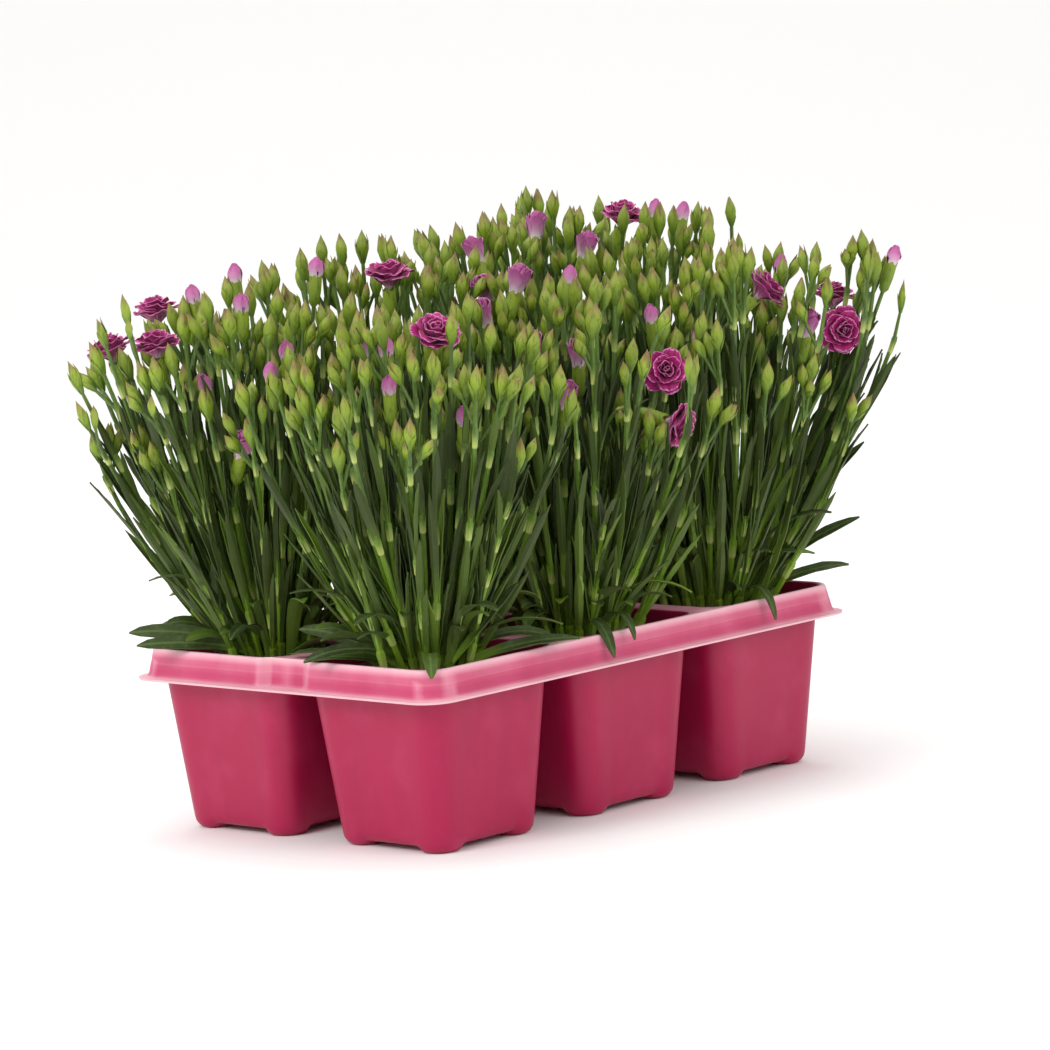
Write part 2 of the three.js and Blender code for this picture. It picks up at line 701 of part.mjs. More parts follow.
// The two triangles of one side of a stem or a core, between one ring and the next.
function bandFaces(band, side, sides = STEM_SIDES) {
  const low = band * sides;
  const high = low + sides;
  const next = (side + 1) % sides;
  return [[low + side, low + next, high + next], [low + side, high + next, high + side]];
}

// A triangle of a skin drawn out through rings of three to a tip.
function drawOut(points, faces, face, rings) {
  const index = faces.findIndex((other) => other.every((corner, place) => corner === face[place]));
  faces.splice(index, 1);
  let base = face;
  rings.forEach((ring) => {
    if (ring.length === 1) {
      const tip = points.push(ring[0]) - 1;
      [0, 1, 2].forEach((side) => faces.push([base[side], base[(side + 1) % 3], tip]));
      return;
    }
    const start = points.length;
    const shift = bestShift(base.map((corner) => points[corner]), ring);
    points.push(...ring);
    const next = [0, 1, 2].map((side) => start + ((side + shift) % 3));
    [0, 1, 2].forEach((side) => {
      const other = (side + 1) % 3;
      faces.push([base[side], base[other], next[other]], [base[side], next[other], next[side]]);
    });
    base = next;
  });
}

// How far round the second ring of three starts, for the least twist from the first.
function bestShift(first, second) {
  const twist = [0, 1, 2].map((shift) => {
    return first.reduce((sum, point, side) => sum + point.distanceToSquared(second[(side + shift) % 3]), 0);
  });
  return twist.indexOf(Math.min(...twist));
}

// The end of a budded stem: a spindle drawn out to a point.
function budEnd({ control, turn, territory, size }) {
  const tip = curvePoint(control, 1);
  const direction = curveDirection(control, 1);
  const at = (t) => keepIn(territory, along(tip, direction, t * BUD_LENGTH * size), BUD_RADIUS);
  return [...roundRing(at(0.42), direction, BUD_RADIUS * size, STEM_SIDES, heading(turn)), at(1)];
}

// The end of a flowering stem: a barrel-shaped calyx whose flat end is the flower's seat.
function calyxEnd({ flower }) {
  const { axis, turn, seat, calyx, calyxRadius } = flower;
  return [
    ...roundRing(along(seat, axis, -0.55 * calyx), axis, calyxRadius, STEM_SIDES, heading(turn)),
    ...roundRing(seat, axis, 0.9 * calyxRadius, STEM_SIDES, heading(turn)),
  ];
}

// A keeled leaf: three-cornered across, its flat face towards the stem, drawn out to a tip.
function leafRings(leaf, territory, shape) {
  return shape.map(({ t, width, keel }) => {
    const centre = keepIn(territory, curvePoint(leaf.control, t), leaf.width / 2);
    if (width === 0) {
      return [centre];
    }
    const { first, second } = crossAxes(curveDirection(leaf.control, t), leaf.outwards.clone().negate());
    const half = (leaf.width * width) / 2;
    return [
      along(centre, first, half),
      along(centre, first, -half),
      along(centre, second, -LEAF_KEEL * keel),
    ];
  });
}

// A side bud on its pedicel: thin as far as the calyx, then a spindle.
function sideBudRings({ control, outwards }, territory) {
  const direction = curveDirection(control, 0);
  const levels = [{ t: 0.42, radius: STEM_TIP_RADIUS }, { t: 0.66, radius: 0.88 * BUD_RADIUS }];
  const rings = levels.map(({ t, radius }) => {
    const centre = keepIn(territory, curvePoint(control, t), BUD_RADIUS);
    return roundRing(centre, direction, radius, STEM_SIDES, outwards);
  });
  return [...rings, [keepIn(territory, curvePoint(control, 1), BUD_RADIUS)]];
}

const STEM_LEAF_SHAPE = [
  { t: 0.5, width: 1, keel: 1 },
  { t: 1, width: 0, keel: 0 },
];
const BASAL_LEAF_SHAPE = [
  { t: 0.34, width: 0.95, keel: 1.1 },
  { t: 0.7, width: 0.9, keel: 1 },
  { t: 1, width: 0, keel: 0 },
];

// The crown, from which each long basal leaf is drawn out at its shoulder.
function makeCrown(basalLeaves, territory) {
  const points = [];
  const faces = [];
  CROWN_LEVELS.forEach(({ z, radius }) => {
    points.push(...roundRing(vector(0, 0, z), UP, radius, CROWN_SIDES, heading(Math.PI / 2)));
  });
  for (let side = 0; side < CROWN_SIDES; side += 1) {
    for (let band = 0; band + 1 < CROWN_LEVELS.length; band += 1) {
      faces.push(...bandFaces(band, side, CROWN_SIDES));
    }
  }
  closeEnd(points, faces, points.slice(0, CROWN_SIDES), 0, true, false);
  const topBand = CROWN_LEVELS.length - 1;
  closeEnd(points, faces, points.slice(0, CROWN_SIDES), topBand * CROWN_SIDES, false, false);
  basalLeaves.forEach((leaf, side) => {
    const base = bandFaces(topBand - 1, side, CROWN_SIDES)[0];
    drawOut(points, faces, base, leafRings(leaf, territory, BASAL_LEAF_SHAPE));
  });
  return solidOf(points, faces);
}

// The space round a flower's petals, which the rest of its plant stays out of.
function petalSpace({ kind, axis, seat }) {
  const profiles = {
    open: [[0.1, 3], [3.5, 12.4], [10, 12.4], [14, 7]],
    half: [[0.1, 3], [4, 7.2], [13, 7.6], [14, 5]],
    opening: [[0.1, 2.8], [4, 3.5], [9.5, 3]],
  };
  return loft(profiles[kind].map(([height, radius]) => {
    return roundRing(along(seat, axis, height), axis, radius, 8);
  }));
}

// The one body of a cut plant: a cut can leave a loose scrap, which is dropped.
function largestBody(solid) {
  const bodies = solid.decompose();
  return bodies.reduce((best, body) => (body.volume() > best.volume() ? body : best));
}

function makePlant(plan) {
  const { stems, basalLeaves, territory, flowers } = plan;
  const pieces = [makeCrown(basalLeaves, territory), ...stems.map(makeStem)];
  const whole = flowers.reduce((rest, flower) => rest.subtract(petalSpace(flower)), unite(pieces));
  return largestBody(whole);
}

// ---------------------------------------------------------------- flowers as solids

const PETAL_THICKNESS = 0.7;
const PETAL_GAP = 0.12;
const CORE_SIDES = 5;

// A petal's outline from one side of its root to the other. Each point is a share of its length,
// a share of its half-width and a rise, so that its edge is toothed and waved.
const TOOTHED_PETAL = [
  [0.62, -0.9, 1],
  [0.96, -0.62, -0.4],
  [0.9, 0, 0.6],
  [1, 0.5, -0.6],
  [0.68, 0.95, 0.8],
];
const PLAIN_PETAL = [[0.6, -0.9, 0.9], [1, -0.45, -0.2], [0.97, 0.45, 0.3], [0.62, 0.9, 0.9]];
const INNER_PETAL = [[0.6, -0.9, 0.3], [1, -0.45, -0.2], [0.97, 0.45, 0.3], [0.62, 0.9, 0.3]];

// Each kind of flower: the levels of its core, and the rounds of petals drawn out of it, each
// round from the band of the core that it names. Neighbours lift differently.
const FLOWER_FORMS = {
  open: {
    levels: [[SEAT_GAP, 2], [4.4, 2.6], [5.3, 2.6], [6.8, 2.3], [7.7, 1.9]],
    rounds: [
      { band: 1, length: 8.8, halfWidth: 6.3, lifts: [0.02, 0.42, 0.1, 0.5, 0.26], outline: TOOTHED_PETAL },
      { band: 3, length: 5.6, halfWidth: 3.9, lifts: [1.1, 0.78, 1.16, 0.72, 0.96], outline: INNER_PETAL },
    ],
  },
  half: {
    levels: [[SEAT_GAP, 2], [2.8, 2.7], [3.7, 2.7], [8.4, 1.6]],
    rounds: [
      { band: 1, length: 9.2, halfWidth: 3.5, lifts: [1.2, 0.95, 1.25, 0.98, 1.12], outline: PLAIN_PETAL },
    ],
  },
  opening: { levels: [[SEAT_GAP, 2], [4.2, 2.8], [8.8, 1.7]], rounds: [] },
};

// A flower on its core, turned round its axis, as one skin of triangles.
function makeFlower(kind, phase) {
  const { levels, rounds } = FLOWER_FORMS[kind];
  const points = levels.flatMap(([z, radius]) => {
    return roundRing(vector(0, 0, z), UP, radius, CORE_SIDES, heading(phase + Math.PI / 2));
  });
  const faces = [];
  const petalBands = rounds.map((round) => round.band);
  for (let band = 0; band + 1 < levels.length; band += 1) {
    for (let side = 0; side < CORE_SIDES && !petalBands.includes(band); side += 1) {
      faces.push(...bandFaces(band, side, CORE_SIDES));
    }
  }
  closeEnd(points, faces, points.slice(0, CORE_SIDES), 0, true, false);
  closeEnd(points, faces, points.slice(0, CORE_SIDES), (levels.length - 1) * CORE_SIDES, false, false);
  rounds.forEach((round) => {
    round.lifts.forEach((lift, side) => addPetal(points, faces, round, side, lift, phase));
  });
  return solidOf(points, faces);
}

// A petal in place of one side of the core's band. Both its faces are split alike, and it stays in
// its own wedge round the axis, so that it crosses no neighbour.
function addPetal(points, faces, { band, length, halfWidth, outline }, side, lift, phase) {
  const next = (side + 1) % CORE_SIDES;
  const low = [band * CORE_SIDES + side, band * CORE_SIDES + next];
  const high = low.map((corner) => corner + CORE_SIDES);
  const turn = phase + (2 * Math.PI * (side + 0.5)) / CORE_SIDES;
  const outwards = heading(turn);
  const across = heading(turn + Math.PI / 2);
  const direction = along(outwards.clone().multiplyScalar(Math.cos(lift)), UP, Math.sin(lift));
  const normal = direction.clone().cross(across);
  const start = points[high[0]].clone().lerp(points[high[1]], 0.5);
  const upper = [high[0]];
  const lower = [low[0]];
  outline.forEach(([share, reach, rise]) => {
    const spine = along(start, direction, share * length);
    const pair = [rise, rise - PETAL_THICKNESS].map((height) => along(spine, normal, height));
    const radius = Math.min(...pair.map((point) => point.dot(outwards)));
    const room = radius * Math.tan(Math.PI / CORE_SIDES) - PETAL_GAP;
    const aside = THREE.MathUtils.clamp(reach * halfWidth, -room, room);
    upper.push(points.push(along(pair[0], across, aside)) - 1);
    lower.push(points.push(along(pair[1], across, aside)) - 1);
  });
  upper.push(high[1]);
  lower.push(low[1]);
  const last = upper.length - 1;
  const split = Math.ceil(last / 2);
  for (let corner = 1; corner < last - 1; corner += 1) {
    const root = corner < split ? 0 : last;
    addBothFaces(faces, upper, lower, root, corner, corner + 1);
  }
  addBothFaces(faces, upper, lower, 0, split, last);
  for (let corner = 0; corner < last; corner += 1) {
    faces.push([upper[corner + 1], upper[corner], lower[corner]]);
    faces.push([upper[corner + 1], lower[corner], lower[corner + 1]]);
  }
}

// The same triangle of a petal on its upper and on its lower face.
function addBothFaces(faces, upper, lower, a, b, c) {
  faces.push([upper[a], upper[b], upper[c]], [lower[a], lower[c], lower[b]]);
}

// ---------------------------------------------------------------- the assembly

function meshOf(name, solid, finish) {
  const { vertProperties, triVerts } = solid.getMesh();
  const geometry = new THREE.BufferGeometry();
  geometry.setAttribute('position', new THREE.BufferAttribute(vertProperties, 3));
  geometry.setIndex(new THREE.BufferAttribute(triVerts, 1));
  geometry.computeVertexNormals();
  const mesh = new THREE.Mesh(geometry, finish);
  mesh.name = name;
  return mesh;
}

function potCentres() {
  return PLANTS.map((plant, index) => {
    const column = index % COLUMNS;
    const row = Math.floor(index / COLUMNS);
    return vector((column - (COLUMNS - 1) / 2) * PITCH, (row - (ROWS - 1) / 2) * PITCH, 0);
  });
}

function flowerMesh(flower, random) {
  const finish = flower.kind === 'open' ? petalFinish : paleFinish;
  const mesh = meshOf(flower.name, makeFlower(flower.kind, 2 * Math.PI * random()), finish);
  mesh.position.copy(flower.seat);
  mesh.quaternion.setFromUnitVectors(UP, flower.axis);
  return mesh;
}

function build() {
  const group = new THREE.Group();
  const centres = potCentres();
  group.add(meshOf('tray', makeTray(centres), plasticFinish));
  centres.forEach((centre, index) => {
    const number = index + 1;
    const random = makeRandom(100 + number);
    const pot = new THREE.Group();
    pot.position.copy(centre);
    pot.add(meshOf(`soil_${number}`, makeSoil(random), soilFinish));
    const plan = planPlant(PLANTS[index], number);
    pot.add(meshOf(`plant_${number}`, makePlant(plan), leafFinish));
    plan.flowers.forEach((flower) => pot.add(flowerMesh(flower, random)));
    group.add(pot);
  });
  return centred(group);
}

// The group moved so that the origin is under the middle of the whole box.
function centred(group) {
  group.updateMatrixWorld(true);
  const box = new THREE.Box3().setFromObject(group, true);
  group.position.set(-(box.min.x + box.max.x) / 2, -(box.min.y + box.max.y) / 2, -box.min.z);
  return group;
}

export default build();
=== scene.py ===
# %% [markdown]
# # Six dianthus plants in a tray of joined pots
#
# Bedding dianthus is sold in a tray of six pots that were drawn from one sheet of plastic. In each
# pot stands one plant: thirty or more thin stems with a pair of narrow leaves at every joint, and
# pointed green buds on top, of which some are opening.
#
# This lesson dresses the plain solids of that object. The solids fix where everything stands and
# how large it is. The lesson first reads them, then sets up the view, and then makes the tray, the
# soil, the plants and the flowers, each with its finish. The frame, the camera, the lamps and the
# finishes are measured in metres, and the tray and the plants in millimetres, of which `MM` is one.

# %% Load the solids
import math

import bmesh
import bpy
import numpy as np
from mathutils import Euler, Matrix, Vector, noise


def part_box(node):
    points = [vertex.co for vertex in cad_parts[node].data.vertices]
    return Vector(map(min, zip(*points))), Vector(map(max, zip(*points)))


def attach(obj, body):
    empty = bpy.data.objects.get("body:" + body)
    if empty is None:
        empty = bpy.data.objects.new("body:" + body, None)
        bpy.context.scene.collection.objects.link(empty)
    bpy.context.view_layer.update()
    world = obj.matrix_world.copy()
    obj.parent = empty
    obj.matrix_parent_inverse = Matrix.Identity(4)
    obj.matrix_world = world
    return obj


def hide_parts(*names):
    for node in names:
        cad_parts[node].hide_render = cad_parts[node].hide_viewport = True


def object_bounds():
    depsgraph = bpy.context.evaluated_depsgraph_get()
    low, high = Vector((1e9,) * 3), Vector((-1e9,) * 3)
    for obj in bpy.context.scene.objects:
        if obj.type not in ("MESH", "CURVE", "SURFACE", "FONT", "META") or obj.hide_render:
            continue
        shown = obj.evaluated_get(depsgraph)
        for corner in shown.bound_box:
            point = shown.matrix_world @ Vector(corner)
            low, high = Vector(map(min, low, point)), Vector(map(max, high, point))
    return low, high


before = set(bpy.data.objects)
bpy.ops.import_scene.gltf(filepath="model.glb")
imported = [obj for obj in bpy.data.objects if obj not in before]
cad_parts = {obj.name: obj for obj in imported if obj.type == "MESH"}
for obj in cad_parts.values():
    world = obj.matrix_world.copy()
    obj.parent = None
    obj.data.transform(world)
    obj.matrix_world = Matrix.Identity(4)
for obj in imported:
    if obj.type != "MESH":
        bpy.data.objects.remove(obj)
solid_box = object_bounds()
MM = 0.001
tray_low, tray_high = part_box("tray")
TRAY_MIDDLE = np.array(((tray_low.x + tray_high.x) / 2, (tray_low.y + tray_high.y) / 2, 0.0))
print("nodes", len(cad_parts), "tray middle", TRAY_MIDDLE.round(4))

# %% [markdown]
# ## Small tools
#
# Blender's operators act on whatever is selected, so every new piece starts with nothing selected.
# A shell whose faces may point either way is turned outwards by one function, which recalculates
# its normals in edit mode.

# %% Tools for objects
def deselect_all():
    for obj in bpy.context.selected_objects:
        obj.select_set(False)


def select_only(obj):
    deselect_all()
    obj.select_set(True)
    bpy.context.view_layer.objects.active = obj


def turn_faces_out(piece):
    select_only(piece)
    bpy.ops.object.mode_set(mode="EDIT")
    bpy.ops.mesh.select_all(action="SELECT")
    bpy.ops.mesh.normals_make_consistent(inside=False)
    bpy.ops.object.mode_set(mode="OBJECT")


# %% [markdown]
# ## Tools for finishes
#
# Colours are written as they look on a screen, and one function turns them into the linear values
# that shaders work with. A finish is a network of nodes. One function adds a node of any kind with
# its settings and links and gives the output that the next node is linked to. The surface shader
# comes last. In a mix of colours 0 is the amount, 6 and 7 are the colours, and output 2 the result.

# %% Tools for finishes
def linear(hex_colour):
    channels = [int(hex_colour[start:start + 2], 16) / 255 for start in (1, 3, 5)]
    curve = [c / 12.92 if c <= 0.04045 else ((c + 0.055) / 1.055) ** 2.4 for c in channels]
    return (*curve, 1.0)


def add_node(tree, kind, settings=None, links=None, output=0):
    """Adds a node of a kind, named without its ShaderNode, and gives one of its outputs. A setting
    is an input's value, where a string is a colour, or a property, or a ramp's stops, or the four
    ends of a mapped range."""
    node = tree.nodes.new("ShaderNode" + kind)
    for name, value in (settings or {}).items():
        if name == "stops":
            elements = node.color_ramp.elements
            while len(elements) < len(value):
                elements.new(0.5)
            for element, (place, colour) in zip(elements, value):
                element.position = place
                element.color = linear(colour)
        elif name == "ends":
            for socket, end in enumerate(value, 1):
                node.inputs[socket].default_value = end
        elif isinstance(name, int) or name in node.inputs:
            node.inputs[name].default_value = linear(value) if isinstance(value, str) else value
        else:
            setattr(node, name, value)
    for socket, source in (links or {}).items():
        tree.links.new(source, node.inputs[socket])
    return node.outputs[output]


def new_material(name, shades=()):
    """A material, its empty network, and the shades that it reads from its mesh."""
    material = bpy.data.materials.new(name)
    material.use_nodes = True
    tree = material.node_tree
    tree.nodes.clear()
    read = [add_node(tree, "Attribute", {"attribute_name": shade}, output="Fac") for shade in shades]
    return (material, tree, *read)


# the settings of a mix of colours, and of a tone that multiplies one
MIX = {"data_type": "RGBA"}
MULTIPLY = {**MIX, "blend_type": "MULTIPLY", 0: 1.0}


def add_surface(material, settings, links):
    """Ends a material's network with the surface shader and the output."""
    tree = material.node_tree
    surface = add_node(tree, "BsdfPrincipled", settings, links)
    end = tree.nodes.new("ShaderNodeOutputMaterial")
    tree.links.new(surface, end.inputs["Surface"])
    return material


print("mid grey is", linear("#808080"))

# %% [markdown]
# ## The camera
#
# The camera looks over a corner of the tray from a little above its rim. It stands far away with a
# long lens, which keeps the pots' edges nearly parallel, and it is rolled by a few degrees. The
# lens follows from how many pixels a metre takes at a metre's distance in an image of 1050.

# %% Set up the camera
CAMERA_PLACE = (-1.630, -1.5365, 0.401)
CAMERA_YAW = math.radians(47.1)
CAMERA_PITCH = math.radians(7.1)
CAMERA_ROLL = math.radians(-3.4)
FOCAL_PIXELS = 5000
IMAGE_WIDTH = 1050
SENSOR_WIDTH_MM = 36

deselect_all()
bpy.ops.object.camera_add(location=Vector(CAMERA_PLACE) + Vector(TRAY_MIDDLE))
camera = bpy.context.object
camera.name = "view_over_the_corner"
camera.data.sensor_width = SENSOR_WIDTH_MM
camera.data.lens = FOCAL_PIXELS / IMAGE_WIDTH * SENSOR_WIDTH_MM
camera.data.clip_end = 50  # metres, past the far end of the backdrop
turn = Euler((math.pi / 2 - CAMERA_PITCH, 0, -CAMERA_YAW), "XYZ").to_matrix()
camera.rotation_euler = (turn @ Matrix.Rotation(CAMERA_ROLL, 3, "Z")).to_euler("XYZ")
bpy.context.scene.camera = camera
print("lens", round(camera.data.lens, 1), "mm")

# %% [markdown]
# ## The floor
#
# A studio stands its subject on a pale sweep of paper, which runs up behind it without an edge. It
# could be two planes, but then the corner would show as a line. Here it is one large plane whose
# far end is extruded upwards, with the bend rounded by a wide bevel. Its paper is matt and has a
# fine tooth.

# %% Make the floor
FLOOR_SIZE = 8
SWEEP_HEIGHT = 5
SWEEP_BEND = 2


def make_floor():
    deselect_all()
    bpy.ops.mesh.primitive_plane_add(size=FLOOR_SIZE)
    floor = bpy.context.object
    floor.name = "paper_sweep"
    bpy.ops.object.mode_set(mode="EDIT")
    mesh = bmesh.from_edit_mesh(floor.data)
    bpy.ops.mesh.select_mode(type="EDGE")
    bpy.ops.mesh.select_all(action="DESELECT")
    for edge in mesh.edges:
        edge.select = all(vert.co.y > 0 for vert in edge.verts)
    bpy.ops.mesh.extrude_edges_move(TRANSFORM_OT_translate={"value": (0, 0, SWEEP_HEIGHT)})
    mesh = bmesh.from_edit_mesh(floor.data)
    for edge in mesh.edges:
        edge.select = all(vert.co.y > 0 and vert.co.z < 1 for vert in edge.verts)
    bpy.ops.mesh.bevel(offset=SWEEP_BEND, segments=24)
    bpy.ops.object.mode_set(mode="OBJECT")
    bpy.ops.object.shade_smooth()
    floor.rotation_euler.z = -CAMERA_YAW
    bpy.ops.object.transform_apply(rotation=True)
    material, tree = new_material("matt white studio paper")
    tooth = add_node(tree, "TexNoise", {"Scale": 900.0, "Detail": 2.0})
    bump = add_node(tree, "Bump", {"Strength": 0.02}, {"Height": tooth})
    add_surface(material, {"Base Color": "#F7F6F5", "Roughness": 0.9}, {"Normal": bump})
    floor.data.materials.append(material)
    print("floor", len(floor.data.polygons), "faces")


make_floor()

# %% [markdown]
# ## The light
#
# Large lamps give soft shadows, and the world gives an even light from all round. One lamp stands
# left of the camera and a weaker one right of it, so that the left faces of the pots come out
# brighter, and a third hangs over the plants. Each aims at the plants' foot.

# %% Hang the lamps and light the world
AIM = Vector((0, 0, 0.12))


def add_lamp(name, place, size, power, colour):
    deselect_all()
    bpy.ops.object.light_add(type="AREA", location=place)
    lamp = bpy.context.object
    lamp.name = name
    lamp.data.shape = "DISK"
    lamp.data.size = size
    lamp.data.energy = power
    lamp.data.color = linear(colour)[:3]
    lamp.rotation_euler = (AIM - Vector(place)).to_track_quat("-Z", "Y").to_euler()


add_lamp("soft box left", (-2.2, 0.1, 1.7), 1.3, 30, "#FFFFFF")
add_lamp("soft box right", (0.2, -2.4, 1.5), 1.5, 14, "#FFFFFF")
add_lamp("soft box above", (0.3, 0.5, 2.6), 2.0, 30, "#FFFFFF")
world = bpy.data.worlds.new("bright studio")
bpy.context.scene.world = world
world.use_nodes = True
world.node_tree.nodes["Background"].inputs["Color"].default_value = (1, 1, 1, 1)
world.node_tree.nodes["Background"].inputs["Strength"].default_value = 0.8
bpy.context.scene.view_settings.view_transform = "Standard"

# %% [markdown]
# ## Rings that grow into a surface
#
# Pots, skirt, buds and soil have closed outlines that change with height. A round one could be
# spun, but these are lofted: a circle of vertices is shaped to the first outline and extruded again
# and again, each new ring being moved to the next outline. A layer of whole numbers remembers each
# vertex's station on the ring, and a second one carries a shade for the finish.

# %% A function that extrudes a ring through outlines
def grow_rings(name, outlines, pallor=None, close_start=False, close_end=False):
    """Outlines are lists of equally many points. Pallor has a shade for each of their points."""
    deselect_all()
    bpy.ops.mesh.primitive_circle_add(vertices=len(outlines[0]))
    piece = bpy.context.object
    piece.name = name
    bpy.ops.object.mode_set(mode="EDIT")
    mesh = bmesh.from_edit_mesh(piece.data)
    station = mesh.verts.layers.int.new("station")
    mesh.verts.layers.float.new("pallor")
    for index, vert in enumerate(mesh.verts):
        vert[station] = index
    if close_start:
        bpy.ops.mesh.edge_face_add()
    for level, outline in enumerate(outlines):
        if level > 0:
            bpy.ops.mesh.extrude_edges_move()
        mesh = bmesh.from_edit_mesh(piece.data)
        station = mesh.verts.layers.int["station"]
        shade = mesh.verts.layers.float["pallor"]
        for vert in mesh.verts:
            if vert.select:
                vert.co = outline[vert[station]]
                vert[shade] = pallor[level][vert[station]] if pallor else 0.0
        if level == 0 and close_start:
            bpy.ops.mesh.select_mode(type="EDGE")
    if close_end:
        bpy.ops.mesh.edge_face_add()
    bmesh.update_edit_mesh(piece.data)
    bpy.ops.object.mode_set(mode="OBJECT")
    return piece


print("rings can be grown")

# %% [markdown]
# ## The tray's sizes
#
# Each of the six pots is a square funnel with round corners, wider at the mouth, and all hang from
# one rim with a skirt round it. These sizes are the solid tray's own, so the sheet lies inside it.

# %% Sizes of the tray, in millimetres
PITCH = 93
TRAY_HEIGHT = 82
SHEET = 1.0
# height, half-width and corner radius of a pot's outside at its foot, its flange and its mouth
POT_LEVELS = ((0, 31.6, 9), (68.4, 38.5, 11), (TRAY_HEIGHT, 41.4, 12.4))
FLOOR_RISE = 2.5
FOOT_GAP_LOW = 21
FOOT_GAP_HIGH = 17
DRAIN_RADIUS = 4
DENT_HALF_MOUTH = 16
DENT_HALF_FLOOR = 10
POT_PLACES = [(column, row) for row in (0, 1) for column in (0, 1, 2)]


def pot_centre(column, row):
    """The middle of a pot's footprint, in metres in the frame."""
    return TRAY_MIDDLE + np.array(((column - 1) * PITCH, (row - 0.5) * PITCH, 0)) * MM


def ease(value, start, end):
    """0 before start, 1 after end, and a smooth S between."""
    share = min(1.0, max(0.0, (value - start) / (end - start)))
    return share * share * (3 - 2 * share)


def pot_size(z):
    """Half-width and corner radius of a pot's outside at a height."""
    heights, halves, corners = zip(*POT_LEVELS)
    return float(np.interp(z, heights, halves)), float(np.interp(z, heights, corners))


print("half-widths of a pot in mm", [half for _, half, _ in POT_LEVELS])

# %% [markdown]
# ## The outline of a pot and of the rim
#
# A rounded square is drawn corner by corner: an arc, then the flat to the next corner. A pot's
# flats sink in by 0.4 mm between its corner pillars, which stiffens the thin wall. The rim's
# outline is of the same kind, with a shallow dent for the fingers in the middle of each short side.

# %% Outlines of pots and rim
ARC_STEPS = 6
POT_STOPS = (0.92, 0.84, 0.74, 0.62, 0.3)
PANEL_DEPTH = 0.4
PANEL_FADE = (66, 76)
PANEL_EDGE = (0.6, 0.92)
SHORT_STOPS = (30, 25, 22, 19, 17, 15, 13.5, 12, 10.5, 9, 5)
LONG_STOPS = (0.97, 0.92, 0.8, 0.6, 0.4, 0.2)


def rounded_outline(half_x, half_y, corner, stops_x, stops_y, set_in=None):
    """Points of a rounded rectangle, counter-clockwise. Stops are distances from a side's middle."""
    points = []
    for quarter in range(4):
        sign_x = 1 if quarter in (0, 3) else -1
        sign_y = 1 if quarter < 2 else -1
        for step in range(ARC_STEPS + 1):
            angle = math.pi / 2 * (quarter + step / ARC_STEPS)
            x = sign_x * (half_x - corner) + corner * math.cos(angle)
            y = sign_y * (half_y - corner) + corner * math.sin(angle)
            points.append((x, y))
        stops = stops_y if quarter % 2 else stops_x
        flat_run = [*stops, 0, *[-stop for stop in reversed(stops)]]
        for stop in flat_run:
            depth = set_in(abs(stop), quarter % 2 == 1) if set_in else 0
            if quarter % 2:
                points.append((sign_x * (half_x - depth), -sign_x * stop))
            else:
                points.append((sign_x * stop, sign_y * (half_y - depth)))
    return points


def pot_outline(z, inset):
    half, corner = pot_size(z)
    flat = half - corner
    stops = [stop * flat for stop in POT_STOPS]
    depth = PANEL_DEPTH * (1 - ease(z, *PANEL_FADE))

    def panel(stop, short_side):
        return depth * (1 - ease(stop, PANEL_EDGE[0] * flat, PANEL_EDGE[1] * flat))

    return rounded_outline(half - inset, half - inset, corner - inset, stops, stops, panel)


def rim_outline(reach, corner, dent, panel):
    """A level of the rim: reach is its distance outwards from the middle of the outer pots."""
    half_x = PITCH + reach
    half_y = PITCH / 2 + reach

    def set_in(stop, short_side):
        if not short_side:
            return panel
        hollow = dent * (1 - ease(stop, DENT_HALF_FLOOR, DENT_HALF_MOUTH))
        return hollow + panel * ease(stop, 19, 25)

    long_stops = [stop * (half_x - corner) for stop in LONG_STOPS]
    return rounded_outline(half_x, half_y, corner, long_stops, SHORT_STOPS, set_in)


print("points round a pot", len(pot_outline(0, 0)))

# %% [markdown]
# ## The tray as one formed sheet
#
# A tray like this is thermoformed: one warm sheet is drawn over a mould, so pots, rim, skirt and
# lip are one skin of even thickness. The model is made the same way: a pot is grown from its mouth
# down to its drain hole, the skirt from the rim's crest down to the lip, and the flat land between
# is filled. Then Solidify gives the sheet its thickness.

# %% Model one pot
# height and inset of the rings that round the mouth's edge
MOUTH_ROUNDING = ((82, 0.4), (81.75, 0.8), (81.2, SHEET))
WALL_HEIGHTS = (79, 76, 73, 68.4, 64, 58, 50, 40, 30, 20, 13, 8)
# scale of the foot's outline and height of the rings that round the wall into the floor
FOOT_ROUNDING = ((1.0, 5.0), (0.995, 3.4), (0.975, 2.0), (0.945, 1.2), (0.9, SHEET), (0.78, SHEET))
FLOOR_SCALES = (0.64, 0.4)
# the mouth's edge is pale, like the rim that it runs into
MOUTH_PALLOR = (0.75, 0.5)


def gap_share(point):
    """1 on the raised arch between two feet, 0 on a foot."""
    across = min(abs(point[0]), abs(point[1]))
    return 1 - ease(across, FOOT_GAP_HIGH - 1, FOOT_GAP_LOW - 0.5)


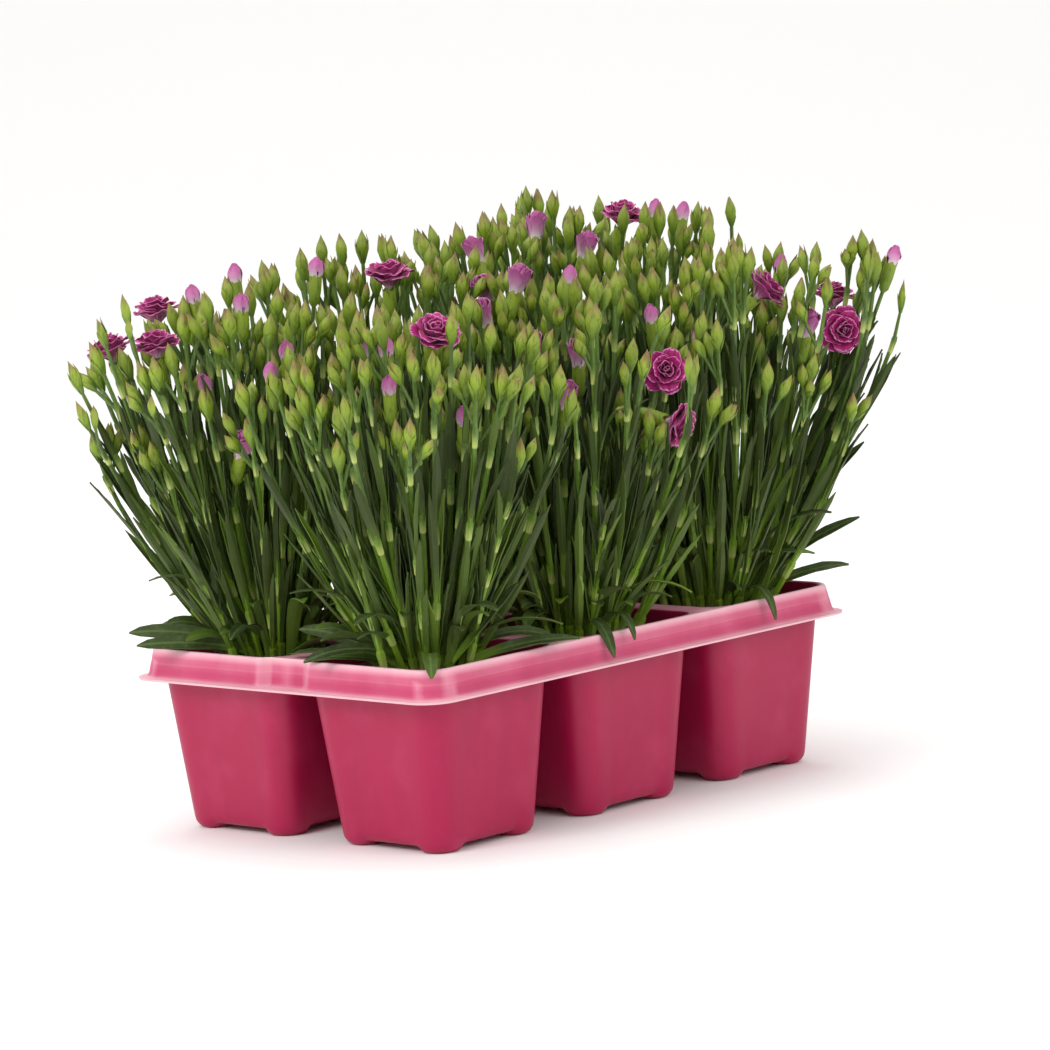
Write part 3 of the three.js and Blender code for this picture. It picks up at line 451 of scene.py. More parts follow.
def pot_rings():
    """Outlines of a pot's inside, from its mouth to its drain, in metres round its own middle."""
    rings = [(z, pot_outline(z, inset)) for z, inset in MOUTH_ROUNDING]
    rings += [(z, pot_outline(z, SHEET)) for z in WALL_HEIGHTS]
    levels = [[Vector((x, y, z)) * MM for x, y in outline] for z, outline in rings]
    foot = pot_outline(0, SHEET)
    for scale, z in FOOT_ROUNDING:
        level = []
        for x, y in foot:
            height = z + FLOOR_RISE * gap_share((x, y))
            reach = scale * pot_size(height)[0] / pot_size(0)[0]
            level.append(Vector((x * reach, y * reach, height)) * MM)
        levels.append(level)
    floor = SHEET + FLOOR_RISE
    for scale in FLOOR_SCALES:
        levels.append([Vector((x * scale, y * scale, floor)) * MM for x, y in foot])
    drain = [Vector((x, y, 0)).normalized() * DRAIN_RADIUS for x, y in foot]
    levels.append([Vector((spot.x, spot.y, floor)) * MM for spot in drain])
    return levels


pot_levels = pot_rings()
pot_shades = [[MOUTH_PALLOR[level] if level < len(MOUTH_PALLOR) else 0.0] * len(ring)
              for level, ring in enumerate(pot_levels)]
one_pot = grow_rings("pot", pot_levels, pot_shades)
print("pot", len(one_pot.data.polygons), "faces")

# %% [markdown]
# ## The rim's skirt
#
# From its crest the rim rounds over and falls as a skirt with one step to a flat lip. Every row
# below gives one ring of the loft. Its last value is the pallor for the finish: plastic that was
# stretched thin or is rubbed turns pale. That is at the crest, the step and the lip. The pale
# bands at both ends of each corner and at the edges of the finger dents are partly that and
# partly painted highlights.

# %% Model the skirt
SKIRT_PROFILE = (  # reach, height, corner, dent, panel, pallor
    (41.6, 82.0, 11.6, 2.2, 0.0, 1.0),
    (42.1, 81.8, 12.0, 2.6, 0.0, 1.0),
    (42.5, 81.2, 12.2, 3.0, 0.0, 0.95),
    (42.75, 80.2, 12.3, 3.4, 0.0, 0.78),
    (43.1, 78.2, 12.5, 3.6, 0.0, 0.42),
    (43.45, 76.3, 12.7, 3.7, 0.0, 0.4),
    (43.6, 75.7, 12.8, 3.8, 0.0, 0.44),
    (43.75, 75.2, 12.8, 3.8, 0.4, 0.34),
    (44.2, 72.8, 13.0, 3.9, 0.5, 0.26),
    (44.6, 70.9, 13.1, 4.0, 0.5, 0.3),
    (45.0, 70.1, 13.2, 4.0, 0.25, 0.5),
    (45.6, 69.6, 13.4, 3.6, 0.0, 0.85),
    (46.6, 69.4, 13.6, 0.6, 0.0, 0.95),
    (47.7, 69.35, 13.9, 0.0, 0.0, 1.0),
    (48.2, 69.2, 14.0, 0.0, 0.0, 1.0),
)
# the pallor added where the sheet stretched, which partly stands for painted highlights
STRETCH_AND_HIGHLIGHT_PALLOR = 0.42
SKIRT_REACH = 44


def stretch_and_highlight(x, y, corner):
    """The sheet's stretch and painted highlights: most at a corner's ends and at a dent's edges."""
    reach_x, reach_y = abs(x) - PITCH, abs(y) - PITCH / 2
    on_short_side = reach_x > 38 - 0.5 * corner and reach_y < 34
    if on_short_side:
        edge = abs(abs(y) - 0.5 * (DENT_HALF_MOUTH + DENT_HALF_FLOOR))
        return max(1 - ease(edge, 1.5, 4.5), 0.6 - 0.6 * ease(abs(y), 0.6, 2.6))
    turned = math.degrees(math.atan2(reach_y - SKIRT_REACH + corner, reach_x - SKIRT_REACH + corner))
    return 1 - ease(abs(abs(turned - 45) - 38), 4, 22)


def skirt_rings():
    levels, shades = [], []
    for reach, z, corner, dent, panel, shade in SKIRT_PROFILE:
        outline = rim_outline(reach, corner, dent, panel)
        levels.append([Vector((x, y, z)) * MM for x, y in outline])
        extra = STRETCH_AND_HIGHLIGHT_PALLOR * (1 - shade)
        shades.append([shade + extra * stretch_and_highlight(x, y, corner) for x, y in outline])
    return levels, shades


skirt = grow_rings("skirt", *skirt_rings())
print("skirt", len(skirt.data.polygons), "faces")

# %% [markdown]
# ## Joining the sheet
#
# The pot is copied to its six places, each copy with its own mesh, and joined with the skirt. The
# open edges of the mouths and of the crest lie at one height, so they can be selected by it, and a
# fill closes the land between them. The sheet is a little thinner than the solid's wall, so that
# it stays inside.

# %% Copy the pot, fill the land and give the sheet its thickness
LAND_HEIGHT = (TRAY_HEIGHT - 0.01) * MM
SHEET_SHARE = 0.95
SHARP_EDGE = math.radians(32)


def join_tray(one_pot, skirt):
    copies = []
    for column, row in POT_PLACES:
        copy = one_pot.copy()
        copy.data = one_pot.data.copy()
        copy.data.transform(Matrix.Translation(Vector(pot_centre(column, row))))
        bpy.context.collection.objects.link(copy)
        copies.append(copy)
    skirt.data.transform(Matrix.Translation(Vector(TRAY_MIDDLE)))
    bpy.data.objects.remove(one_pot)
    select_only(skirt)
    for copy in copies:
        copy.select_set(True)
    bpy.ops.object.join()
    tray = bpy.context.object
    tray.name = "formed_tray"
    bpy.ops.object.mode_set(mode="EDIT")
    bpy.ops.mesh.select_mode(type="EDGE")
    bpy.ops.mesh.select_all(action="DESELECT")
    mesh = bmesh.from_edit_mesh(tray.data)
    for edge in mesh.edges:
        if edge.is_boundary and all(vert.co.z > LAND_HEIGHT for vert in edge.verts):
            edge.select = True
    bpy.ops.mesh.fill()
    bpy.ops.object.mode_set(mode="OBJECT")
    turn_faces_out(tray)
    return tray


def thicken_tray(tray):
    """Gives the sheet its thickness on the lower side, so the land has to face upwards first."""
    land = [face for face in tray.data.polygons if face.center.z > LAND_HEIGHT]
    if land[0].normal.z < 0:
        tray.data.flip_normals()
    select_only(tray)
    sheet = tray.modifiers.new("sheet", "SOLIDIFY")
    sheet.thickness = SHEET_SHARE * SHEET * MM
    sheet.offset = -1
    sheet.use_even_offset = True
    bpy.ops.object.modifier_apply(modifier="sheet")
    bpy.ops.object.shade_smooth_by_angle(angle=SHARP_EDGE)


tray = join_tray(one_pot, skirt)
thicken_tray(tray)
print("tray", len(tray.data.polygons), "faces")

# %% [markdown]
# ## Random numbers that are the same on every run
#
# No two stems or crumbs are alike, yet the model has to come out the same each time. Python's own
# random numbers would do, but a rule of one multiplication and one sum gives the same numbers in
# any language, and the solids were drawn with it. Each piece starts it from a seed of its own.

# %% Random numbers
RANDOM_RANGE = 2 ** 32
RANDOM_MULTIPLIER = 1664525
RANDOM_STEP = 1013904223


def make_random(seed):
    """A number from 0 to 1 at each call, the same list for the same seed."""
    state = seed

    def draw():
        nonlocal state
        state = (state * RANDOM_MULTIPLIER + RANDOM_STEP) % RANDOM_RANGE
        return state / RANDOM_RANGE

    return draw


print("the first number from seed 1 is", make_random(1)())

# %% [markdown]
# ## Copies of a modelled piece
#
# Crumbs, leaves, buds and petals are modelled once and repeated hundreds of times. An object for
# each would be slow, so a modelled piece is read into arrays of numbers, a pattern. Its placed
# copies become one mesh with vertices of their own. Every vertex carries four shades for the
# finish: its place along and across the piece, the tint of its copy, and 1 on the under side.

# %% Patterns, and copies gathered into one mesh
SHADES = ("along", "across", "tint", "under")


class Pattern:
    """A small modelled piece as arrays, ready to be copied many times."""

    def __init__(self, piece, two_skins=False):
        mesh = piece.data
        self.points = np.array([vert.co for vert in mesh.vertices])
        self.corners = np.array([loop.vertex_index for loop in mesh.loops])
        self.sizes = np.array([face.loop_total for face in mesh.polygons])
        self.under = np.zeros(len(self.points))
        if two_skins:
            self.under[len(self.points) // 2:] = 1.0
        bpy.data.objects.remove(piece)


class Gathering:
    """Placed copies of patterns, which become one mesh with shades for its finish."""

    def __init__(self):
        self.points, self.corners, self.sizes = [], [], []
        self.shades = {shade: [] for shade in SHADES}
        self.count = 0

    def add(self, pattern, points, tint, along=None, across=None, under=None):
        self.points.append(points)
        self.corners.append(pattern.corners + self.count)
        self.sizes.append(pattern.sizes)
        self.shades["along"].append(pattern.points[:, 1] if along is None else along)
        self.shades["across"].append(pattern.points[:, 0] if across is None else across)
        self.shades["tint"].append(np.full(len(points), tint))
        self.shades["under"].append(pattern.under if under is None else under)
        self.count += len(points)

    def make(self, name, material, sharp_degrees=50):
        mesh = bpy.data.meshes.new(name)
        corners = np.concatenate(self.corners)
        sizes = np.concatenate(self.sizes)
        mesh.vertices.add(self.count)
        mesh.vertices.foreach_set("co", np.concatenate(self.points).ravel() * MM)
        mesh.loops.add(len(corners))
        mesh.loops.foreach_set("vertex_index", corners)
        mesh.polygons.add(len(sizes))
        mesh.polygons.foreach_set("loop_start", np.concatenate(([0], np.cumsum(sizes)[:-1])))
        mesh.update(calc_edges=True)
        for shade, values in self.shades.items():
            layer = mesh.attributes.new(shade, "FLOAT", "POINT")
            layer.data.foreach_set("value", np.concatenate(values).astype(np.float32))
        mesh.materials.append(material)
        piece = bpy.data.objects.new(name, mesh)
        bpy.context.collection.objects.link(piece)
        select_only(piece)
        bpy.ops.object.shade_smooth_by_angle(angle=math.radians(sharp_degrees))
        return piece


deselect_all()
bpy.ops.mesh.primitive_ico_sphere_add(subdivisions=1, radius=1)
crumb = Pattern(bpy.context.object)
print("a crumb has", len(crumb.sizes), "faces")

# %% [markdown]
# ## The soil
#
# The pots are filled with dark, fibrous peat nearly to the rim. A filling is lofted from the pot's
# floor up along the wall and then inwards over the top. The top's height follows noises of three
# sizes, so that it settles lumpy, and it lies higher beside the wall, where it isn't pressed down.
# Its first ring is lowered, which rounds the edge.

# %% The shape of a pot's soil
SOIL_LEVEL = 72
SOIL_RISE = 0.6
SOIL_GAP = 0.35
SOIL_SLACK = 0.6
SOIL_STOPS = (0.8, 0.4)
# how much finer than the coarsest lumps, which are 11 mm wide, and the height of each kind
SOIL_LUMPS = ((1, 2.4), (3.1, 1.1), (8, 0.5))
LUMP_SCALE = 0.09
LUMP_MOST = 1.5
SOIL_HEAPED = 2.2
HEAP_START = 24
HEAP_WIDTH = 12
SOIL_SIDE_HEIGHTS = (FLOOR_RISE + SHEET + 2 * SOIL_GAP, 30, 66, SOIL_LEVEL - 1.6)
SOIL_TOP_SCALES = (0.985, 0.95, 0.9, 0.84, 0.77, 0.7, 0.62, 0.54, 0.46, 0.37, 0.28, 0.19, 0.09)
SOIL_EDGE_DROP = 0.9


def soil_height(x, y, number):
    spot = Vector((x * LUMP_SCALE, y * LUMP_SCALE, 3.7 * number))
    lumps = sum(height * noise.noise(spot * finer) for finer, height in SOIL_LUMPS)
    beside_wall = min(1.0, max(0.0, max(abs(x), abs(y)) - HEAP_START) / HEAP_WIDTH)
    return SOIL_LEVEL + SOIL_RISE + min(LUMP_MOST, lumps) + SOIL_HEAPED * beside_wall


def soil_rings(number):
    """Outlines of the soil of one pot, in millimetres from the pot's middle."""
    inset = SHEET + SOIL_GAP
    levels = []
    for z in SOIL_SIDE_HEIGHTS:
        half, corner = pot_size(z)
        stops = [stop * (half - corner) for stop in SOIL_STOPS]
        reach = half - inset - SOIL_SLACK
        outline = rounded_outline(reach, reach, corner - inset, stops, stops)
        levels.append([Vector((x, y, z)) for x, y in outline])
    for level, scale in enumerate(SOIL_TOP_SCALES):
        drop = 0.0 if level else SOIL_EDGE_DROP
        spots = [(x * scale, y * scale) for x, y in outline]
        levels.append([Vector((x, y, soil_height(x, y, number) - drop)) for x, y in spots])
    return levels


print("soil in the middle of pot 1 is", round(soil_height(0, 0, 1), 1), "mm high")

# %% [markdown]
# ## Peat
#
# Peat is matt and almost black when moist, with paler fibres and grains. One brown with a strong
# bump would give all grains one colour, so a noise with lumps of 4 mm mixes four browns, and one
# with grains of 0.7 mm roughens the surface. The crumbs that lie loose on it are small spheres of
# few faces, stretched at random, and share its finish.

# %% The finish of peat, and the soil of six pots
CRUMBS = 150
CRUMB_SPREAD = 35
CRUMB_SEED = 500


def peat_finish():
    material, tree = new_material("moist fibrous peat")
    place = add_node(tree, "TexCoord", output="Object")
    lumps = add_node(tree, "TexNoise", {"Scale": 260.0, "Detail": 6.0}, {"Vector": place})
    grains = add_node(tree, "TexNoise", {"Scale": 1400.0, "Detail": 4.0}, {"Vector": place})
    browns = (0.3, "#150E09"), (0.5, "#2B1D13"), (0.66, "#4A3523"), (0.8, "#6E5238")
    colour = add_node(tree, "ValToRGB", {"stops": browns}, {"Fac": lumps})
    bump = add_node(tree, "Bump", {"Strength": 0.8, "Distance": 0.0007}, {"Height": grains})
    return add_surface(material, {"Roughness": 0.93}, {"Base Color": colour, "Normal": bump})


def lay_crumbs(number, middle, material):
    draw = make_random(CRUMB_SEED + number)
    crumbs = Gathering()
    for _ in range(CRUMBS):
        x = (2 * draw() - 1) * CRUMB_SPREAD
        y = (2 * draw() - 1) * CRUMB_SPREAD
        size = 0.5 + 1.3 * draw() ** 2
        stretched = np.array((0.7 + 0.8 * draw(), 0.7 + 0.8 * draw(), 0.6 + 0.4 * draw()))
        spot = middle + np.array((x, y, soil_height(x, y, number) + 0.2 * size))
        crumbs.add(crumb, crumb.points * stretched * size + spot, draw())
    return crumbs.make(f"crumbs_{number}", material)


def make_soil(number, material):
    rings = [[point * MM for point in level] for level in soil_rings(number)]
    soil = grow_rings(f"peat_{number}", rings, close_start=True, close_end=True)
    middle = pot_centre(*POT_PLACES[number - 1]) / MM
    loose = lay_crumbs(number, middle, material)
    soil.data.transform(Matrix.Translation(Vector(middle * MM)))
    soil.data.materials.append(material)
    for shade in SHADES:
        soil.data.attributes.new(shade, "FLOAT", "POINT")
    select_only(soil)
    bpy.ops.object.shade_smooth_by_angle(angle=math.radians(60))
    loose.select_set(True)
    bpy.ops.object.join()
    turn_faces_out(soil)
    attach(soil, "root")
    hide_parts(f"soil_{number}")
    return soil


peat = peat_finish()
soils = [make_soil(number, peat) for number in range(1, 7)]
print("soil", [len(soil.data.polygons) for soil in soils], "faces")

# %% [markdown]
# ## Raspberry plastic
#
# The tray is thermoformed polypropylene, coloured through. The thick pot walls look deep raspberry
# with a satin shine. Where the sheet was stretched thin or rubbed it turns pale and milky. The
# rings of the loft carry that paleness as a shade, which at the skirt's corners and finger dents
# also holds painted highlights, and a noise 22 mm wide keeps its edge uneven. Faint upright
# streaks about 9 mm apart come from the draw over the mould, and a grain of half a millimetre
# breaks up the reflections.

# %% The finish of the plastic
def plastic_finish():
    material, tree, pale = new_material("thermoformed raspberry polypropylene", ("pallor",))
    place = add_node(tree, "TexCoord", output="Object")
    cloud = add_node(tree, "TexNoise", {"Scale": 45.0, "Detail": 3.0}, {"Vector": place})
    uneven = add_node(tree, "MapRange", {"ends": (0, 1, -0.14, 0.14)}, {"Value": cloud})
    # the pallor, which holds painted highlights at the skirt's corners and dents, turns the pink
    # milky
    milky_and_highlit = add_node(tree, "Math", {"operation": "ADD", "use_clamp": True}, {0: pale, 1: uneven})
    pinks = (0.0, "#A51446"), (0.3, "#C4486F"), (0.6, "#D97F97"), (1.0, "#EAB6C0")
    colour = add_node(tree, "ValToRGB", {"stops": pinks}, {"Fac": milky_and_highlit})
    squeeze = add_node(tree, "Mapping", {"Scale": (110.0, 110.0, 6.0)}, {"Vector": place})
    streaks = add_node(tree, "TexNoise", {"Scale": 1.0, "Detail": 2.0}, {"Vector": squeeze})
    tone = add_node(tree, "MapRange", {"ends": (0.3, 0.7, 0.96, 1.03)}, {"Value": streaks})
    streaked = add_node(tree, "Mix", MULTIPLY, {6: colour, 7: tone}, output=2)
    grain = add_node(tree, "TexNoise", {"Scale": 1800.0, "Detail": 2.0}, {"Vector": place})
    height = add_node(tree, "Math", {"operation": "MULTIPLY_ADD", 1: 0.3}, {0: grain, 2: streaks})
    bump = add_node(tree, "Bump", {"Strength": 0.1, "Distance": 0.0005}, {"Height": height})
    satin = add_node(tree, "MapRange", {"ends": (0, 1, 0.34, 0.5)}, {"Value": cloud})
    return add_surface(material, {"IOR": 1.49, "Specular IOR Level": 0.36},
                       {"Base Color": streaked, "Roughness": satin, "Normal": bump})


tray.data.materials.clear()
tray.data.materials.append(plastic_finish())
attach(tray, "root")
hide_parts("tray")
print("tray", len(tray.data.polygons), "faces with", tray.data.materials[0].name)

# %% [markdown]
# ## How a plant is planned
#
# The solids of the plants were drawn from a plan: a few stems with numbered seeds, each a Bezier
# curve from the crown to a bud or a flower. The same plan is worked out here again, draw by draw,
# so that the detailed stems, leaves and flowers run exactly where those solids are. After it, more
# stems of the same kind are planned to fill the plants, because a real plant has two or three times
# as many. Places in the plan are measured from the middle of the plant's own pot.

# %% The plants
# stems with leaves and buds, height and seed of each plant
PLANTS = ((7, 240, 11), (6, 246, 23), (7, 260, 35), (7, 248, 47), (7, 260, 59), (7, 276, 71))
# the crown is the stump that stems and first leaves grow from
CROWN_RADIUS = 12
CROWN_TOP = 76.5
STEM_ROOT_Z = 69


def pick(span, draw):
    """A random length or angle. Its span is the least value and how much more it may be."""
    least, more = span
    return least + more * draw()


print("plants", len(PLANTS))

# %% [markdown]
# ## Directions and curves
#
# Stems, stalks and leaves bend in one smooth sweep, which a Bezier curve of two to four points
# gives. A chain of straight pieces would show kinks. The place and slope at any share of a curve
# are sums of its points with weights, so they can be worked out for many places at once.

# %% Directions and curves
UP = np.array((0.0, 0.0, 1.0))


def heading(angle):
    return np.array((math.cos(angle), math.sin(angle), 0.0))


def unit(vector):
    return vector / np.linalg.norm(vector)


def bernstein(degree, t):
    """Weights of a Bezier curve's points at each t, and the weights of its slope."""
    t = np.atleast_1d(np.asarray(t, dtype=float))
    choose = [math.comb(degree, k) for k in range(degree + 1)]
    weights = np.stack([c * t ** k * (1 - t) ** (degree - k) for k, c in enumerate(choose)], 1)
    lower = [math.comb(degree - 1, k) for k in range(degree)]
    steps = np.stack([c * t ** k * (1 - t) ** (degree - 1 - k) for k, c in enumerate(lower)], 1)
    slope = np.zeros_like(weights)
    slope[:, 1:] += degree * steps
    slope[:, :-1] -= degree * steps
    return weights, slope


def curve_points(control, t):
    return bernstein(len(control) - 1, t)[0] @ np.array(control)


def curve_point(control, t):
    return curve_points(control, t)[0]


def curve_direction(control, t):
    ends = curve_points(control, (max(0.0, t - 0.01), min(1.0, t + 0.01)))
    return unit(ends[1] - ends[0])


def cross_axes(direction, towards):
    second = unit(towards - direction * np.dot(towards, direction))
    return np.cross(second, direction), second


print("a curve's weights in its middle", bernstein(2, 0.5)[0])

# %% [markdown]
# ## Where a plant may grow
#
# Plants in one tray press against each other and lean outwards where they are free. So each has a
# room, a rectangle round its pot, and what would cross its edge is softly bent back. Round each
# flower a ball stays free of leaves and stems, and a curve that crosses it is moved aside.

# %% Keep to the room and clear of flowers
LEAN = {"left": 75, "right": 79, "front": 77, "back": 82}
PLANT_GAP = 0.4
TURN_ASIDE = 8
CURVE_SHARES = np.arange(15) / 14
# push for each millimetre that a curve lacks, where its tip moves too and where the tip is held
PUSH_FREE = 1.1
PUSH_HELD = 1.5


def room_of(column, row, lean=LEAN, extra=0.0):
    """Reach to the left, right, front and back. Extra lets stems mingle with the neighbours'."""
    shared = (PITCH - PLANT_GAP) / 2 + extra
    return (lean["left"] if column == 0 else shared, lean["right"] if column == 2 else shared,
            lean["front"] if row == 0 else shared, lean["back"] if row == 1 else shared)


def ease_off(distance, limit, bend):
    free = limit - bend
    over = np.maximum(0.0, distance - free)
    return np.where(distance <= free, distance, free + bend * np.tanh(over / bend))


def keep_in(room, points, half_width=0.0, bend=TURN_ASIDE):
    """Points bent back so that they stay in the plant's room."""
    left, right, front, back = (side - half_width for side in room)
    points = np.array(points, dtype=float)
    x, y = points[..., 0], points[..., 1]
    bent_x = np.where(x > 0, ease_off(x, right, bend), -ease_off(-x, left, bend))
    bent_y = np.where(y > 0, ease_off(y, back, bend), -ease_off(-y, front, bend))
    points[..., 0] = bent_x
    points[..., 1] = bent_y
    return points


def bend_clear(control, flowers, own, free_tip):
    """Moves a curve clear of the balls round the flowers. Its root stays where it is."""
    for flower in flowers:
        if flower is own:
            continue
        away = curve_points(control, CURVE_SHARES) - flower["ball_middle"]
        distances = np.linalg.norm(away, axis=1)
        nearest = int(np.argmin(distances))
        lack = flower["ball"] - distances[nearest]
        if lack > 0:
            push = away[nearest] / distances[nearest] * lack * (PUSH_FREE if free_tip else PUSH_HELD)
            for index in range(1, len(control) if free_tip else len(control) - 1):
                control[index] = control[index] + push


print("reach of the first plant to its four sides", room_of(0, 0))

# %% [markdown]
# ## Where the flowers are
#
# Open flowers, half-open ones and opening buds show at once. Each sits on a calyx at the end of its
# stem. Their places are written out. Drawn at random, some would hide others.

# %% Place the flowers
# a stem's nodes: their share of its height and the size of their leaves
BUD_STEM_NODES = ((0.2, 1), (0.46, 0.85), (0.8, 0))
FLOWER_STEM_NODES = ((0.28, 1), (0.62, 0.7))
SLIM_STEM_NODES = ((0.36, 0.95),)
# calyx length and radius, height of the flower's middle, height and radius of its ball, nodes
FLOWER_KINDS = {
    "open_bloom": (16, 3.0, 6, 7, 14, FLOWER_STEM_NODES),
    "half_bloom": (15, 2.9, 5, 7, 9, SLIM_STEM_NODES),
    "opening_bud": (14, 2.8, 4, 5, 6.5, SLIM_STEM_NODES),
}
# plant, the flower's middle, the bearing it faces and its tilt from upright in degrees
FLOWER_ROWS = {
    "open_bloom": (
        (2, (23, -44, 192), 225, 72), (2, (20, -52, 169), 290, 108), (3, (47, -50, 198), 235, 80),
        (3, (16, -31, 220), 312, 50), (3, (66, -30, 212), 312, 10), (6, (47, -13, 251), 270, 16),
        (5, (-24, -16, 238), 230, 8), (1, (4, -12, 220), 240, 38), (4, (-36, 27, 217), 200, 12),
        (4, (-42, 50, 215), 135, 18), (4, (-12, 51, 229), 135, 6)),
    "half_bloom": (
        (2, (-8, -21, 203), 240, 10), (2, (-24, -8, 208), 150, 12), (2, (14, 33, 233), 300, 15),
        (5, (31, -18, 244), 140, 14), (5, (17, -36, 228), 190, 34), (2, (-18, 26, 221), 180, 24),
        (6, (-2, -2, 250), 20, 12), (1, (2, 31, 214), 130, 14), (4, (-36, -24, 174), 250, 30),
        (6, (-3, -34, 241), 330, 18), (3, (30, -44, 203), 260, 20), (2, (-23, -26, 186), 240, 18)),
    "opening_bud": (
        (4, (-13, -5, 234), 220, 6), (4, (7, 19, 245), 130, 4), (4, (-10, 29, 237), 130, 10),
        (4, (38, -2, 245), 310, 8), (1, (-14, 0, 216), 220, 6), (2, (28, 14, 234), 320, 8),
        (3, (-34, -34, 206), 320, 18), (3, (9, 3, 222), 300, 12), (2, (38, -24, 216), 200, 8),
        (3, (32, -2, 231), 310, 10), (6, (55, -27, 254), 310, 6), (6, (62, -38, 252), 320, 10),
        (3, (54, -10, 228), 310, 12), (3, (70, -64, 231), 312, 20), (4, (-17, -35, 214), 200, 8),
        (1, (-24, -10, 201), 220, 8), (4, (-31, 3, 200), 150, 12), (4, (-31, -39, 206), 200, 10),
        (1, (-4, -34, 186), 250, 10)),
}


def place_flower(kind, number, row):
    plant, middle, bearing, tilt = row
    calyx, radius, height, ball_height, ball, nodes = FLOWER_KINDS[kind]
    bearing, tilt = math.radians(bearing), math.radians(tilt)
    axis = UP * math.cos(tilt) + heading(bearing) * math.sin(tilt)
    seat = np.array(middle, dtype=float) - axis * height
    return {"kind": kind, "name": f"{kind}_{number:02d}", "plant": plant, "axis": axis,
            "turn": bearing + math.pi / 2, "seat": seat, "ball_middle": seat + axis * ball_height,
            "calyx": calyx, "radius": radius, "ball": ball, "nodes": nodes}


flowers = [place_flower(kind, index + 1, row)
           for kind, rows in FLOWER_ROWS.items() for index, row in enumerate(rows)]
print("flowers", {kind: len(rows) for kind, rows in FLOWER_ROWS.items()})

# %% [markdown]
# ## Stems and their tips
#
# A stem leaves the soil near the crown, leans outwards the more the further out its tip is, and
# meets its bud from below. The tips lie on a sunflower spiral, which spreads them evenly, stretched
# over the plant's square, and hang lower outside. A tip in a flower's ball is moved out sideways.

# %% Plan the curves and tips of stems
# How a stem leaves the soil: its root's distance from the crown and its lean, both as a share of
# the tip's reach and at most.
CENTRAL_ROOT = (0.2, CROWN_RADIUS - 4, 0.008, 0.5)
SPREAD_ROOT = (0.36, 25, 0.011, 0.65)
FAN_ROOT = (0.24, 15, 0.011, 0.7)
# How far a tip may lie under its plant's height: the fall towards the outside, the most that is
# drawn, and the power of the draw.
EVEN_DROP = (34, 14, 1)
DEEP_DROP = (34, 72, 2.2)
LEFT_DROP = (34, 52, 2.2)
RIGHT_DROP = (14, 66, 2.5)
FALL_START = 22
FALL_WIDTH = 60
FALL_POWER = 1.5
# the curve's handles at root and tip, as shares of the stem's length
ROOT_HANDLE = 0.35
TIP_HANDLE = 0.25
BUD_LENGTH = 16
GOLDEN_ANGLE = math.pi * (3 - math.sqrt(5))
SPIRAL_START = 0.6
SQUARENESS = 0.75
TIP_MARGIN = 6
TIP_ROOM = 5
TIP_CLEARANCE = 4
TIP_PUSH = 1.4
# a tip this far out would lean by 45 degrees, and every tip sways a little
TIP_LEAN_REACH = 260
TIP_SWAY = 0.07


def stem_control(tip, tip_direction, root_rule):
    root_share, root_most, lean_share, lean_most = root_rule
    reach = math.hypot(tip[0], tip[1])
    outwards = unit(np.array((tip[0], tip[1], 0.0)))
    root = np.array((0, 0, STEM_ROOT_Z)) + outwards * min(root_most, root_share * reach)
    length = np.linalg.norm(tip - root)
    root_direction = unit(UP + outwards * min(lean_most, lean_share * reach))
    shoulder = root + root_direction * ROOT_HANDLE * length
    return [root, shoulder, tip - tip_direction * TIP_HANDLE * length, tip]


def bud_tips(buds, height, room, flowers, draw, drop=EVEN_DROP):
    left, right, front, back = room
    half_x, half_y = (right + left) / 2 - TIP_MARGIN, (back + front) / 2 - TIP_MARGIN
    middle = np.array(((right - left) / 2, (back - front) / 2, 0.0))
    fall, most, power = drop
    phase = 2 * math.pi * draw()
    tips = []
    for index in range(buds):
        ray = heading(phase + GOLDEN_ANGLE * index)
        square = math.sqrt((index + SPIRAL_START) / buds)
        square = square / max(abs(ray[0]), abs(ray[1])) ** SQUARENESS
        tip = middle + np.array((ray[0] * half_x, ray[1] * half_y, 0)) * square
        outside = max(0.0, math.hypot(tip[0], tip[1]) - FALL_START) / FALL_WIDTH
        tip[2] = height - BUD_LENGTH - fall * outside ** FALL_POWER - most * draw() ** power
        for flower in flowers:
            away = tip - flower["ball_middle"]
            lack = flower["ball"] + TIP_CLEARANCE - np.linalg.norm(away)
            if lack > 0:
                away[2] = 0
                tip = tip + unit(away) * TIP_PUSH * lack
        tips.append(keep_in(room, tip, TIP_ROOM))
    return tips


def tip_direction(tip, turn):
    return unit(UP + np.array((tip[0], tip[1], 0)) / TIP_LEAN_REACH + heading(turn) * TIP_SWAY)


print("a trial tip", bud_tips(1, 200, room_of(0, 0), [], make_random(1))[0].round(1))

# %% [markdown]
# ## Leaves and side buds
#
# Leaves stand in pairs at the nodes, opposite each other, and turn from node to node. A leaf starts
# close to its stem and bends away towards its tip. On a stem that ends in a bud the highest node
# has no leaves but up to two side buds on thin stalks.

# %% Plan leaves and side buds
# a planned stem has three sides, and what grows at a node leaves it on one of them
STEM_SIDES = 3
PAIR_SPREAD = math.radians(25)
# spans in degrees: how far leaves and stalks stand off a stem
OPEN_LEAVES = (9, 9)
CLOSE_LEAVES = (3, 5)
STALK_LEANS = (19, 8)
# how much further the outer half of a leaf leans
LEAF_BEND = 1.9
LEAF_LENGTHS = (42, 20)
LEAF_WIDTHS = (4.6, 1.4)
STALK_LENGTHS = (27, 5)
MOST_SIDE_BUDS = 2.5


def side_heading(control, t, turn, side, aside):
    first, second = cross_axes(curve_direction(control, t), heading(turn))
    angle = 2 * math.pi * (side + 0.5) / STEM_SIDES + aside
    outwards = first * math.cos(angle) + second * math.sin(angle)
    outwards[2] = 0
    return unit(outwards)


